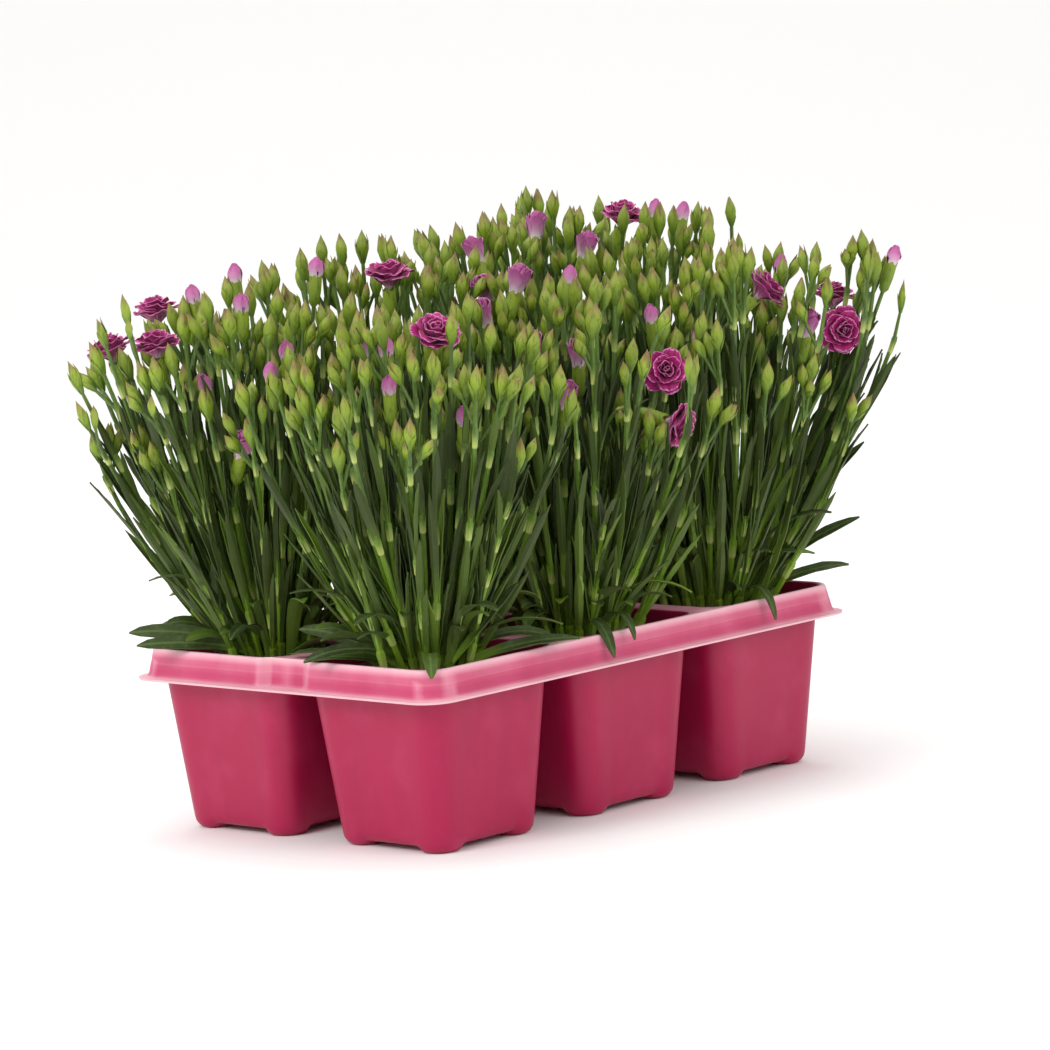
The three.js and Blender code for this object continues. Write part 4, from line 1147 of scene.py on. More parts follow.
def leaf_pair(control, t, side, size, turn, draw, spreads):
    root, direction = curve_point(control, t), curve_direction(control, t)
    leaves = []
    for half in (0, 1):
        aside = PAIR_SPREAD if half else -PAIR_SPREAD
        outwards = side_heading(control, t, turn, (side + half) % STEM_SIDES, aside)
        length = pick(LEAF_LENGTHS, draw) * size
        spread = math.radians(pick(spreads, draw))
        near = unit(direction + outwards * math.tan(spread))
        far = unit(direction + outwards * math.tan(LEAF_BEND * spread))
        middle = root + near * 0.5 * length
        leaves.append({"control": [root, middle, middle + far * 0.5 * length],
                       "width": pick(LEAF_WIDTHS, draw), "outwards": outwards})
    return leaves


def side_buds(control, t, side, turn, draw):
    count = math.floor(MOST_SIDE_BUDS * draw())
    root, direction = curve_point(control, t), curve_direction(control, t)
    buds = []
    for index in range(count):
        outwards = side_heading(control, t, turn, (side + 2 + index) % STEM_SIDES, 0)
        lean = unit(direction + outwards * math.tan(math.radians(pick(STALK_LEANS, draw))))
        buds.append({"control": [root, root + lean * pick(STALK_LENGTHS, draw)]})
    return buds


print("leaves are", LEAF_LENGTHS[0], "mm long or more in the middle of a stem")

# %% [markdown]
# ## Whole stems
#
# A whole stem is a curve with its leaves and side buds. Bare stems have no nodes in the plan, so
# that they cost few triangles in the solids. The first leaves of the plant rise round the crown,
# bow over and hang.

# %% Plan whole stems and the first leaves
NODE_SLACK = 0.07
STEM_SIZES = (0.92, 0.16)
BARE_STEMS = 5
BARE_STEM_DROP = 8
BASAL_LEAVES = 8
BASAL_REACHES = (50, 16)
BASAL_RISES = (24, 22)
BASAL_DROOPS = (6, 16)
BASAL_WIDTHS = (6, 1.8)


def plan_stem(tip, way, turn, flower, room, flowers, draw, root_rule=CENTRAL_ROOT,
              spreads=OPEN_LEAVES, rows=BUD_STEM_NODES):
    control = stem_control(tip, way, root_rule)
    bend_clear(control, flowers, flower, False)
    nodes = [(t + NODE_SLACK * draw(), (2 * index) % STEM_SIDES, size)
             for index, (t, size) in enumerate(rows)]
    leaves = []
    for t, side, size in nodes:
        if size > 0:
            leaves += leaf_pair(control, t, side, size, turn, draw, spreads)
    for leaf in leaves:
        bend_clear(leaf["control"], flowers, None, True)
    has_buds = flower is None and nodes
    buds = side_buds(control, nodes[-1][0], nodes[-1][1], turn, draw) if has_buds else []
    for bud in buds:
        bend_clear(bud["control"], flowers, None, True)
    return {"control": control, "turn": turn, "nodes": [node[0] for node in nodes],
            "leaves": leaves, "buds": buds, "flower": flower, "room": room,
            "size": pick(STEM_SIZES, draw)}


def plan_stems(count, height, room, flowers, draw, root_rule=CENTRAL_ROOT, drop=EVEN_DROP,
               spreads=OPEN_LEAVES, rows=BUD_STEM_NODES):
    stems = []
    for tip in bud_tips(count, height, room, flowers, draw, drop):
        turn = 2 * math.pi * draw()
        way = tip_direction(tip, turn)
        stems.append(plan_stem(tip, way, turn, None, room, flowers, draw, root_rule, spreads, rows))
    return stems


def plan_basal_leaves(draw):
    leaves = []
    for index in range(BASAL_LEAVES):
        outwards = heading(2 * math.pi * (index + 0.3 + 0.4 * draw()) / BASAL_LEAVES)
        reach, rise, droop = (pick(span, draw) for span in (BASAL_REACHES, BASAL_RISES, BASAL_DROOPS))
        root = np.array((0, 0, CROWN_TOP - 2)) + outwards * (CROWN_RADIUS - 2)
        shoulder = np.array((0, 0, CROWN_TOP + rise)) + outwards * 0.5 * reach
        tip = np.array((0, 0, CROWN_TOP + rise - droop + 4)) + outwards * reach
        leaves.append({"control": [root, shoulder, tip], "width": pick(BASAL_WIDTHS, draw),
                       "outwards": outwards})
    return leaves


print("first leaves", len(plan_basal_leaves(make_random(1))))

# %% [markdown]
# ## More stems
#
# The stems that fill a plant may mingle with its neighbours', so their room is wider between the
# pots. The tips of outer stems, which draw the plants' outline, are written out.

# %% Plan the stems that stand out
FILL_STEMS = (40, 41, 47, 41, 36, 46)
FILL_LOWER = (6, 6, 13, 6, 6, 15)
FILL_SEED = 1000
FILL_REACH = {"left": 68, "right": 73, "front": 69.5, "back": 70}
MINGLE = 14
# plant, tip, bearing and degrees of the lean of the stems that stand out of the rest
OUTER_STEMS = (
    (4, (-65, 46, 199), 133, 26), (4, (-65, 43, 183), 133, 28), (4, (-66, 12, 229), 150, 14),
    (4, (-65, 28, 219), 140, 18), (4, (-60, 36, 207), 136, 20), (3, (48, -66, 222), 313, 12),
    (3, (38, -64, 225), 313, 8), (3, (57, -62, 219), 320, 14), (3, (64, -50, 222), 320, 16),
    (3, (62, -56, 226), 313, 12), (3, (52, -53, 229), 310, 8), (3, (44, -38, 226), 310, 6),
    (3, (56, -58, 229), 312, 9), (3, (72, -66, 205), 313, 16), (3, (66, 29, 245), 20, 3),
    (3, (46, -2, 206), 0, 6), (3, (56, 8, 212), 10, 6), (3, (40, -8, 198), 340, 5),
    (3, (50, 30, 240), 60, 3), (6, (36, 38, 252), 60, 2), (6, (42, 36, 250), 40, 4),
    (6, (56, 10, 246), 0, 4), (6, (20, -50, 246), 280, 3), (6, (28, -52, 244), 300, 3),
    (6, (42, -48, 243), 310, 4), (6, (52, -54, 243), 313, 5), (6, (58, -57, 240), 313, 6),
    (5, (-36, 50, 232), 120, 6), (5, (-24, 38, 236), 120, 4), (5, (-10, 39, 240), 90, 3),
    (5, (-2, 34, 241), 90, 2), (5, (8, 31, 241), 60, 2), (5, (2, 11, 241), 60, 2),
    (4, (-8, 8, 232), 120, 3), (4, (24, 16, 233), 40, 4), (4, (38, 26, 232), 40, 6),
    (1, (-50, 30, 196), 150, 14), (1, (-56, 8, 190), 180, 18), (2, (3, -50, 165), 223, 8),
)


def plan_outer_stems(number, room, flowers, draw):
    stems = []
    for plant, tip, bearing, lean in OUTER_STEMS:
        if plant == number:
            lean = math.radians(lean)
            way = UP * math.cos(lean) + heading(math.radians(bearing)) * math.sin(lean)
            stems.append(plan_stem(np.array(tip, dtype=float), way, 2 * math.pi * draw(), None,
                                   room, flowers, draw, FAN_ROOT, CLOSE_LEAVES))
    return stems


print("outer stems", len(OUTER_STEMS))

# %% [markdown]
# ## Shoots
#
# Low between the stems grow short leafy shoots without buds. Their roots are spread over the pot's
# mouth by the same spiral, and the outer ones lean out more.

# %% Plan the shoots
SHOOTS = 8
SHOOT_SPREAD = 28
SHOOT_HEIGHTS = (34, 44)
SHOOT_SWAYS = (0.6, 0.6)


def plan_shoots(room, draw):
    shoots = []
    phase = 2 * math.pi * draw()
    for index in range(SHOOTS):
        outwards = heading(phase + GOLDEN_ANGLE * index)
        reach = SHOOT_SPREAD * math.sqrt((index + 0.4) / SHOOTS)
        root = outwards * reach + UP * (STEM_ROOT_Z + 2)
        height = pick(SHOOT_HEIGHTS, draw)
        lean = (0.12 + 0.012 * reach) * height * pick(SHOOT_SWAYS, draw)
        middle = root + UP * 0.55 * height + outwards * 0.4 * lean
        control = [root, middle, root + UP * height + outwards * lean]
        shoots.append({"control": control, "turn": 2 * math.pi * draw(), "room": room})
    return shoots


print("shoots in each pot", SHOOTS)

# %% [markdown]
# ## Open air before flowers
#
# Flowers open where they get light, so few stems cross in front of them. Some flowers have a row of
# balls before them, towards the tray's front. Stems and leaves are bent out of these, and an added
# stem that still crosses them is left out.

# %% Keep the air before flowers open
# The radius of the open air for each flower, its steps and its direction.
OPEN_AIR = {"open_bloom_01": 12.5, "open_bloom_02": 7, "open_bloom_03": 11, "open_bloom_04": 9,
            "open_bloom_05": 8, "open_bloom_06": 10}
AIR_STEPS = (9, 20, 31, 42, 54)
FRONT_SIDE = unit(heading(math.radians(223)) + 0.12 * UP)
# A bud's middle lies this far up from its stem's end, and a stem may graze the balls' edges.
BUD_MIDDLE = 0.7
AIR_CORE = 0.8


def free_spaces(number, flowers):
    """The balls round the flowers, and those of the open air before some of them."""
    here = pot_centre(*POT_PLACES[number - 1]) / MM
    balls, air = [], []
    for flower in flowers:
        middle = flower["ball_middle"] + pot_centre(*POT_PLACES[flower["plant"] - 1]) / MM - here
        balls.append({"ball_middle": middle, "ball": flower["ball"]})
        if flower["name"] in OPEN_AIR:
            air += [{"ball_middle": middle + FRONT_SIDE * step, "ball": OPEN_AIR[flower["name"]]}
                    for step in AIR_STEPS]
    return balls, air


def step_aside(stem, air):
    before = list(stem["control"])
    bend_clear(stem["control"], air, None, stem["flower"] is None)
    for index, part in enumerate(stem["leaves"] + stem["buds"]):
        share = stem["nodes"][index // 2 if index < len(stem["leaves"]) else -1]
        shift = curve_point(stem["control"], share) - curve_point(before, share)
        part["control"] = [point + shift for point in part["control"]]
        bend_clear(part["control"], air, None, True)


def blocks(control, air):
    """Whether a stem and its bud still cross the open air."""
    top = control[-1] + BUD_MIDDLE * BUD_LENGTH * curve_direction(control, 1.0)
    curve = np.vstack((curve_points(control, CURVE_SHARES), top))
    return any(np.linalg.norm(curve - ball["ball_middle"], axis=1).min() < AIR_CORE * ball["ball"]
               for ball in air)


print("balls of open air", len(free_spaces(1, flowers)[1]))

# %% [markdown]
# ## Each plant
#
# A plant's plan follows the solids' order of draws: stems with buds, stems with flowers, first
# leaves, bare stems. A second seed starts the stems and shoots that are added.

# %% Plan each plant
def plan_plant(number, flowers):
    buds, height, seed = PLANTS[number - 1]
    column, row = POT_PLACES[number - 1]
    room = room_of(column, row)
    own = [flower for flower in flowers if flower["plant"] == number]
    draw = make_random(seed)
    stems = plan_stems(buds, height, room, own, draw)
    for flower in own:
        foot = flower["seat"] - flower["axis"] * flower["calyx"]
        stems.append(plan_stem(foot, flower["axis"], flower["turn"], flower, room, own, draw,
                               rows=flower["nodes"]))
    leaves = plan_basal_leaves(draw)
    stems += plan_stems(BARE_STEMS, height - BARE_STEM_DROP, room, own, draw, rows=())

    draw = make_random(seed + FILL_SEED)
    wide = room_of(column, row, FILL_REACH, MINGLE)
    balls, air = free_spaces(number, flowers)
    around = balls + air
    for stem in stems:
        step_aside(stem, air)
    drop = (LEFT_DROP, DEEP_DROP, RIGHT_DROP)[column]
    more = plan_stems(FILL_STEMS[number - 1], height - FILL_LOWER[number - 1], wide, around, draw,
                      FAN_ROOT if column == 0 else SPREAD_ROOT, drop, CLOSE_LEAVES)
    more += plan_outer_stems(number, wide, around, draw)
    for stem in more:
        stem["buds"] = [bud for bud in stem["buds"] if not blocks(bud["control"], air)]
    stems += [stem for stem in more if not blocks(stem["control"], air)]
    return {"stems": stems, "basal": leaves, "room": wide, "around": around, "draw": draw,
            "number": number, "shoots": plan_shoots(wide, draw)}


plans = [plan_plant(number, flowers) for number in range(1, 7)]
print("stems", [len(plan["stems"]) for plan in plans])

# %% [markdown]
# ## Patterns that are laid along curves
#
# A plant repeats a handful of small pieces hundreds of times. Each is modelled once, from a grid
# or a ring that is shaped in edit mode. Grids get their thickness from Solidify. The vertices are
# then read as numbers and laid along a curve of the plan, so every copy is bent in its own way and
# has its own mesh. While a pattern is modelled, one Blender unit stands for one millimetre.

# %% Turn a modelled piece into a pattern
def shape_grid(name, columns, rows, thickness, place, *shape):
    """A grid whose points go where place says, for u from -1 to 1 and v from 0 to 1."""
    deselect_all()
    bpy.ops.mesh.primitive_grid_add(x_subdivisions=columns, y_subdivisions=rows, size=2)
    piece = bpy.context.object
    piece.name = name
    bpy.ops.object.mode_set(mode="EDIT")
    mesh = bmesh.from_edit_mesh(piece.data)
    for vert in mesh.verts:
        vert.co = place(vert.co.x, (vert.co.y + 1) / 2, *shape)
    bmesh.update_edit_mesh(piece.data)
    bpy.ops.object.mode_set(mode="OBJECT")
    skin = piece.modifiers.new("skin", "SOLIDIFY")
    skin.thickness = thickness
    skin.offset = -1
    bpy.ops.object.modifier_apply(modifier="skin")
    return piece


def read_pattern(piece, half_width=1.0, length=1.0, two_skins=True):
    """Points as shares of the pattern's half-width and length. Under is its far skin."""
    pattern = Pattern(piece, two_skins)
    pattern.points = pattern.points / np.array((half_width, length, 1.0))
    return pattern


print("patterns can be read")

# %% [markdown]
# ## Laying a pattern
#
# Laid along a curve, each point of a pattern moves to the curve's place at the same share of the
# length, and its width and depth point along two axes square to the curve. An armature could bend
# one piece like this, but not a thousand quickly. A curl rolls the piece across the curve.

# %% Lay a pattern along a curve
def lay(pattern, control, side, half_width, depth=1.0, curl=None, roll=0.0, twist=0.0):
    """The pattern's points along a curve. Its width lies along side, its face to side x way.

    Roll turns it round the curve, and twist turns it more and more towards its tip."""
    control = np.array(control)
    across, share, rise = pattern.points.T
    weights, slopes = bernstein(len(control) - 1, np.clip(share, 0, 1))
    way = slopes @ control
    speed = np.linalg.norm(way, axis=1, keepdims=True)
    way = way / speed
    centre = weights @ control + way * speed * (share - np.clip(share, 0, 1))[:, None]
    flat = side - way * (way @ side)[:, None]
    flat = flat / np.linalg.norm(flat, axis=1, keepdims=True)
    face = np.cross(flat, way)
    angle = (roll + twist * share)[:, None]
    cosine, sine = np.cos(angle), np.sin(angle)
    flat, face = flat * cosine + face * sine, face * cosine - flat * sine
    aside, out = across * half_width, rise * depth
    if curl is not None:
        turned = aside / curl
        aside = (curl - out) * np.sin(turned)
        out = curl - (curl - out) * np.cos(turned)
    return centre + flat * aside[:, None] + face * out[:, None]


print("patterns can be laid along curves")

# %% [markdown]
# ## The leaf, the stem and the node
#
# A dianthus leaf is narrow, three to seven millimetres wide and about ten times as long, folded
# along its middle and finely pointed. The oldest ones at the foot are broad and blunt. A leaf's
# base and the one opposite form a sheath that widens upwards from the swollen node. The tubes of
# the stems have few sides, because hundreds of them stand side by side.

# %% Model the leaf, the stem and the sheath of a node
LEAF_LENGTH = 50
LEAF_HALF = 2.6
LEAF_SHEET = 0.45
# share of the length, and half-width beside the widest place
SLIM_LEAF = ((0, 0.55), (0.08, 0.6), (0.25, 0.82), (0.45, 0.98), (0.62, 1.0), (0.8, 0.82),
             (0.92, 0.46), (1.0, 0.04))
BROAD_LEAF = ((0, 0.5), (0.1, 0.56), (0.3, 0.8), (0.55, 0.99), (0.75, 0.97), (0.88, 0.76),
              (0.96, 0.44), (1.0, 0.08))
SLIM_FOLD = 0.95
BROAD_FOLD = 0.8
STEM_STEPS = 9
STALK_STEPS = 3
# height and radius of a sheath's rings
SHEATH_PROFILE = ((0, 0.9), (0.13, 1.24), (0.45, 1.3), (0.8, 1.5), (1, 1.15))


def leaf_place(u, v, widths, fold):
    length = 0.5 * v + 0.5 * (1 - (1 - v) ** 1.25)
    half = LEAF_HALF * np.interp(length, *zip(*widths))
    channel = fold * abs(u) ** 1.4 * half / LEAF_HALF
    edge = 0.18 * math.sin(7 * math.pi * v + 1.3 * u) * abs(u) ** 3
    return (u * half, LEAF_LENGTH * length, channel + edge)


def model_leaf(columns, rows, widths, fold):
    leaf = shape_grid("leaf", columns, rows, LEAF_SHEET, leaf_place, widths, fold)
    return read_pattern(leaf, LEAF_HALF, LEAF_LENGTH)


def ring_outlines(profile, sides, ridge=0.0):
    """Rings round +Y from rows of a height and a radius, with five ridges where asked."""
    outlines = []
    for height, radius in profile:
        ring = []
        for index in range(sides):
            angle = 2 * math.pi * index / sides
            out = radius * (1 + ridge * math.cos(5 * angle) * max(0.0, height - 0.5))
            ring.append(Vector((out * math.sin(angle), height, out * math.cos(angle))))
        outlines.append(ring)
    return outlines


def model_ring(name, profile, sides):
    piece = grow_rings(name, ring_outlines(profile, sides), close_start=True, close_end=True)
    turn_faces_out(piece)
    return read_pattern(piece, two_skins=False)


def model_tube(name, steps, sides):
    return model_ring(name, [(index / steps, 1.0) for index in range(steps + 1)], sides)


slim_leaf = model_leaf(2, 7, SLIM_LEAF, SLIM_FOLD)
broad_leaf = model_leaf(4, 10, BROAD_LEAF, BROAD_FOLD)
stem_tube = model_tube("stem", STEM_STEPS, 6)
stalk_tube = model_tube("stalk", STALK_STEPS, 5)
sheath = model_ring("sheath", SHEATH_PROFILE, 6)
print("leaves", len(slim_leaf.sizes), len(broad_leaf.sizes), "stem", len(stem_tube.sizes), "faces")

# %% [markdown]
# ## The bud and the calyx
#
# A bud is a spindle 11 to 15 mm long on a narrow foot: five green sepals pressed together into a
# ridged point, held by two scale-like bracts that reach almost as high and end in fine tips of
# their own. Where a flower comes out, the sepals part into a tube with five teeth round its mouth.
# The spindle is grown ring by ring, and the bracts are grids wrapped round it.

# %% Model the bud and the calyx
BUD_PROFILE = ((0, 0.33), (0.09, 0.38), (0.2, 0.58), (0.34, 0.85), (0.48, 1.0), (0.6, 0.94),
               (0.73, 0.7), (0.85, 0.38), (0.94, 0.15), (1.0, 0.03))
CALYX_PROFILE = ((0, 0.34), (0.05, 0.52), (0.15, 0.78), (0.3, 0.96), (0.5, 1.05), (0.7, 1.04),
                 (0.86, 1.02), (0.95, 1.06), (0.94, 0.98), (0.8, 0.8))
BUD_RIDGE = 0.2
BUD_SIDES = 8
# five teeth, each on one of three neighbouring points of the calyx's mouth
CALYX_SIDES = 15
TOOTH_RISE = 0.09
TOOTH_FALL = -0.02
BRACT_SPREAD = 1.25
BRACT_FOOT = 0.03
BRACT_CLEAR = 0.14
BRACT_SHEET = 0.035


def bract_place(u, v, profile, top, facing, flare):
    """A point of a bract, which wraps the spindle on one side and frees its tip."""
    height = BRACT_FOOT + (top - BRACT_FOOT) * v
    half_angle = BRACT_SPREAD * (1 - v ** 2.6) * (0.8 + 0.2 * math.sin(math.pi * min(1, 1.6 * v)))
    angle = facing + u * half_angle
    clear = BRACT_CLEAR * min(1.0, 0.3 + 3 * v)
    spindle = np.interp(min(0.9, height), *zip(*profile))
    radius = spindle + clear + flare * v ** 4 - 0.05 * abs(u)
    return (radius * math.sin(angle), height, radius * math.cos(angle))


def join_bracts(body, profile, bracts):
    """Wraps bracts round the spindle, each with a top height, a facing angle and a flare."""
    pieces = [shape_grid("bract", 3, 4, -BRACT_SHEET, bract_place, profile, *bract)
              for bract in bracts]
    select_only(body)
    for piece in pieces:
        piece.select_set(True)
    bpy.ops.object.join()
    turn_faces_out(body)
    return read_pattern(body, two_skins=False)


def model_bud(bracts):
    outlines = ring_outlines(BUD_PROFILE, BUD_SIDES, BUD_RIDGE)
    body = grow_rings("bud", outlines, close_start=True, close_end=True)
    return join_bracts(body, BUD_PROFILE, bracts)


def model_calyx(bracts):
    outlines = ring_outlines(CALYX_PROFILE, CALYX_SIDES)
    for level in (-3, -2):
        for index, point in enumerate(outlines[level]):
            point.y += TOOTH_RISE if index % 3 == 0 else TOOTH_FALL
    body = grow_rings("calyx", outlines, close_start=True, close_end=True)
    return join_bracts(body, CALYX_PROFILE, bracts)


bud_patterns = [
    model_bud(((0.84, 0, 0.2), (0.7, math.pi, 0.15))),
    model_bud(((0.97, 0.3, 0.5), (0.62, 3.3, 0.12))),
    model_bud(((0.58, 0, 0.1), (0.5, math.pi, 0.1))),
]
calyx_pattern = model_calyx(((0.5, 0, 0.1), (0.44, math.pi, 0.1)))
print("buds", [len(bud.sizes) for bud in bud_patterns], "calyx", len(calyx_pattern.sizes), "faces")

# %% [markdown]
# ## Leaf surface
#
# Dianthus leaves carry a thin layer of wax that makes them grey-green and nearly matt. The base is
# pale and each leaf has its own tone. Light is painted by height over the table: the leaves at the
# foot are made a lighter green and the upper ones a little darker. The wax is a noise with patches
# of 3 mm, and a sine across the leaf draws its fine long veins.

# %% The finish of leaves
def leaf_finish():
    material, tree, along, across, tint, under = new_material("waxy grey-green leaf", SHADES)
    place = add_node(tree, "TexCoord", output="Object")
    greens = (0.0, "#1F2B10"), (0.4, "#2B3914"), (0.75, "#3B4E18"), (1.0, "#5F7A1D")
    body = add_node(tree, "ValToRGB", {"stops": greens}, {"Fac": tint})
    wax = add_node(tree, "TexNoise", {"Scale": 330.0, "Detail": 3.0}, {"Vector": place})
    haze = add_node(tree, "MapRange", {"ends": (0.45, 0.75, 0, 0.22)}, {"Value": wax})
    waxed = add_node(tree, "Mix", {**MIX, 7: "#5B663A"}, {0: haze, 6: body}, output=2)
    base = add_node(tree, "MapRange", {"ends": (0.03, 0.42, 0.85, 0)}, {"Value": along})
    rooted = add_node(tree, "Mix", {**MIX, 7: "#688624"}, {0: base, 6: waxed}, output=2)
    aside = add_node(tree, "Math", {"operation": "ABSOLUTE"}, {0: across})
    rib = add_node(tree, "MapRange", {"ends": (0.05, 0.2, 0.3, 0)}, {"Value": aside})
    ribbed = add_node(tree, "Mix", {**MIX, 7: "#5F7434"}, {0: rib, 6: rooted}, output=2)
    back = add_node(tree, "Mix", {**MIX, 7: "#445227"}, {0: under, 6: ribbed}, output=2)
    skin = add_node(tree, "Mix", {**MIX, 0: 0.5}, {6: ribbed, 7: back}, output=2)
    # painted light: a tone by height lightens the leaves at the foot and darkens the upper ones a
    # little
    height = add_node(tree, "SeparateXYZ", links={"Vector": place}, output="Z")
    tone = add_node(tree, "MapRange", {"ends": (0.085, 0.15, 1.6, 0.95)}, {"Value": height})
    final = add_node(tree, "Mix", MULTIPLY, {6: skin, 7: tone}, output=2)
    turns = add_node(tree, "Math", {"operation": "MULTIPLY", 1: 28.0}, {0: across})
    veins = add_node(tree, "Math", {"operation": "SINE"}, {0: turns})
    bump = add_node(tree, "Bump", {"Strength": 0.12, "Distance": 0.0003}, {"Height": veins})
    return add_surface(material, {"Roughness": 0.52, "Specular IOR Level": 0.26},
                       {"Base Color": final, "Normal": bump})


green_leaf = leaf_finish()
print("nodes of the leaf's finish", len(green_leaf.node_tree.nodes))

# %% [markdown]
# ## Stem and bud surfaces
#
# Stems run from yellow-green below to grey-green above, finely streaked, and their nodes are pale.
# The light yellow-green at the foot is partly their own colour and partly painted light.
# Buds are yellow-green, darker along their veins and at the foot, and flushed purple-brown at the
# tips of the sepals and bracts. Streaks and veins are noises stretched upwards. The place along a
# bud and its tint decide how far the flush reaches.

# %% The finishes of stems and buds
def stem_finish():
    material, tree, tint, under = new_material("smooth green stem", ("tint", "under"))
    place = add_node(tree, "TexCoord", output="Object")
    height = add_node(tree, "SeparateXYZ", links={"Vector": place}, output="Z")
    # the ramp by height is partly the stems' own colour and partly painted light at the foot
    rise = add_node(tree, "MapRange", {"ends": (0.075, 0.2, 0, 1)}, {"Value": height})
    greens = (0.0, "#7A9C20"), (0.3, "#668820"), (0.7, "#4B6722"), (1.0, "#4C6626")
    body = add_node(tree, "ValToRGB", {"stops": greens}, {"Fac": rise})
    tone = add_node(tree, "MapRange", {"ends": (0, 1, 0.78, 1.15)}, {"Value": tint})
    toned = add_node(tree, "Mix", MULTIPLY, {6: body, 7: tone}, output=2)
    squeeze = add_node(tree, "Mapping", {"Scale": (900.0, 900.0, 60.0)}, {"Vector": place})
    fibre = add_node(tree, "TexNoise", {"Scale": 1.0, "Detail": 2.0}, {"Vector": squeeze})
    pale = add_node(tree, "MapRange", {"ends": (0.45, 0.7, 0, 0.35)}, {"Value": fibre})
    streaked = add_node(tree, "Mix", {**MIX, 7: "#7C9A3E"}, {0: pale, 6: toned}, output=2)
    final = add_node(tree, "Mix", {**MIX, 7: "#B2C06A"}, {0: under, 6: streaked}, output=2)
    bump = add_node(tree, "Bump", {"Strength": 0.15, "Distance": 0.0003}, {"Height": fibre})
    return add_surface(material, {"Roughness": 0.46, "Specular IOR Level": 0.4},
                       {"Base Color": final, "Normal": bump})


def bud_finish():
    material, tree, along, tint = new_material("yellow-green sepals", ("along", "tint"))
    place = add_node(tree, "TexCoord", output="Object")
    greens = (0.0, "#5A7424"), (0.25, "#748F28"), (0.55, "#8A9F2E"), (0.85, "#909A38")
    body = add_node(tree, "ValToRGB", {"stops": greens}, {"Fac": along})
    tone = add_node(tree, "MapRange", {"ends": (0, 1, 0.78, 1.12)}, {"Value": tint})
    toned = add_node(tree, "Mix", MULTIPLY, {6: body, 7: tone}, output=2)
    squeeze = add_node(tree, "Mapping", {"Scale": (700.0, 700.0, 170.0)}, {"Vector": place})
    vein = add_node(tree, "TexNoise", {"Scale": 1.0, "Detail": 4.0}, {"Vector": squeeze})
    dark = add_node(tree, "MapRange", {"ends": (0.52, 0.66, 0, 0.55)}, {"Value": vein})
    veined = add_node(tree, "Mix", {**MIX, 7: "#435E20"}, {0: dark, 6: toned}, output=2)
    reach = add_node(tree, "Math", {"operation": "MULTIPLY_ADD", 1: 0.35}, {0: tint, 2: along})
    mottled = add_node(tree, "Math", {"operation": "MULTIPLY_ADD", 1: 0.5}, {0: vein, 2: reach})
    flush = add_node(tree, "MapRange", {"ends": (1.06, 1.42, 0, 0.7)}, {"Value": mottled})
    final = add_node(tree, "Mix", {**MIX, 7: "#7C4C44"}, {0: flush, 6: veined}, output=2)
    bump = add_node(tree, "Bump", {"Strength": 0.3, "Distance": 0.0004}, {"Height": vein})
    return add_surface(material, {"Roughness": 0.48, "Specular IOR Level": 0.38},
                       {"Base Color": final, "Normal": bump})


green_stem, green_bud = stem_finish(), bud_finish()
print("finishes", green_stem.name, "|", green_bud.name)

# %% [markdown]
# ## Growing a stem
#
# Each planned stem becomes a tapering tube. Its planned nodes, and more between them every three
# centimetres, each get a sheath and a pair of leaves: long ones low on the stem, short ones near
# the top. The planned leaves are drawn towards their stem, because a dianthus's stand close.

# %% Lay tubes, leaves and sheaths along the plan
NODE_SPACING = 31
LOWEST_NODE = 8
HIGHEST_NODE = 0.93
NODE_CLEARANCE = 0.55
SHEATH_LENGTH = 9
SHEATH_FOOT = 1.8
# height along a sheath, and how pale it is there
SHEATH_PALENESS = ((0, 0.13, 0.45, 0.8), (0.4, 1.0, 0.5, 0.0))
# share of the stem's height, and the leaves' length there beside the longest ones
LEAF_SIZES = ((0, 0.15, 0.45, 0.7, 0.85, 1), (0.85, 1.0, 0.8, 0.5, 0.28, 0.18))
PLANNED_LEAF_WIDTH = 0.76
LEAF_TWIST = 0.9
TUCK = 0.45
STEM_THICK = 1.55
STEM_THIN = 0.98
TUBE_SIDE = np.array((0.31, 0.95, 0.05))


def add_tube(stems, pattern, control, room, radius_low, radius_high, tint):
    points = lay(pattern, control, TUBE_SIDE, 1.0)
    centre = curve_points(control, pattern.points[:, 1])
    radius = radius_low + (radius_high - radius_low) * pattern.points[:, 1]
    points = centre + (points - centre) * radius[:, None]
    stems.add(pattern, keep_in(room, points), tint)


def add_leaf(leaves, shape, room, draw, pattern=slim_leaf, roll=0.0, brightest=1.0):
    side = np.cross(shape["outwards"], UP)
    points = lay(pattern, shape["control"], side, shape["width"] / 2, roll=roll,
                 twist=LEAF_TWIST * (draw() - 0.5))
    leaves.add(pattern, keep_in(room, points), brightest * draw())


def tuck_leaf(shape, way):
    """The leaf's curve, drawn part of the way towards its stem."""
    root, middle, tip = shape["control"]
    for index, point in ((1, middle), (2, tip)):
        beside = root + way * np.linalg.norm(point - root)
        shape["control"][index] = point + (beside - point) * TUCK


def add_sheath(stems, stem, share, tint):
    start = curve_point(stem["control"], share)
    way = curve_direction(stem["control"], share)
    control = [start - way * SHEATH_FOOT, start + way * (SHEATH_LENGTH - SHEATH_FOOT)]
    radius = STEM_THICK + (STEM_THIN - STEM_THICK) * share
    points = lay(sheath, control, TUBE_SIDE, radius, depth=radius)
    pale = np.interp(sheath.points[:, 1], *SHEATH_PALENESS)
    stems.add(sheath, keep_in(stem["room"], points), tint, under=pale)


def extra_nodes(stem, length):
    """Shares of the stem for more nodes, clear of the planned ones."""
    shares = []
    share = LOWEST_NODE / length
    while share < HIGHEST_NODE:
        if all(abs(share - node) > NODE_CLEARANCE * NODE_SPACING / length for node in stem["nodes"]):
            shares.append(share)
        share += NODE_SPACING / length
    return shares


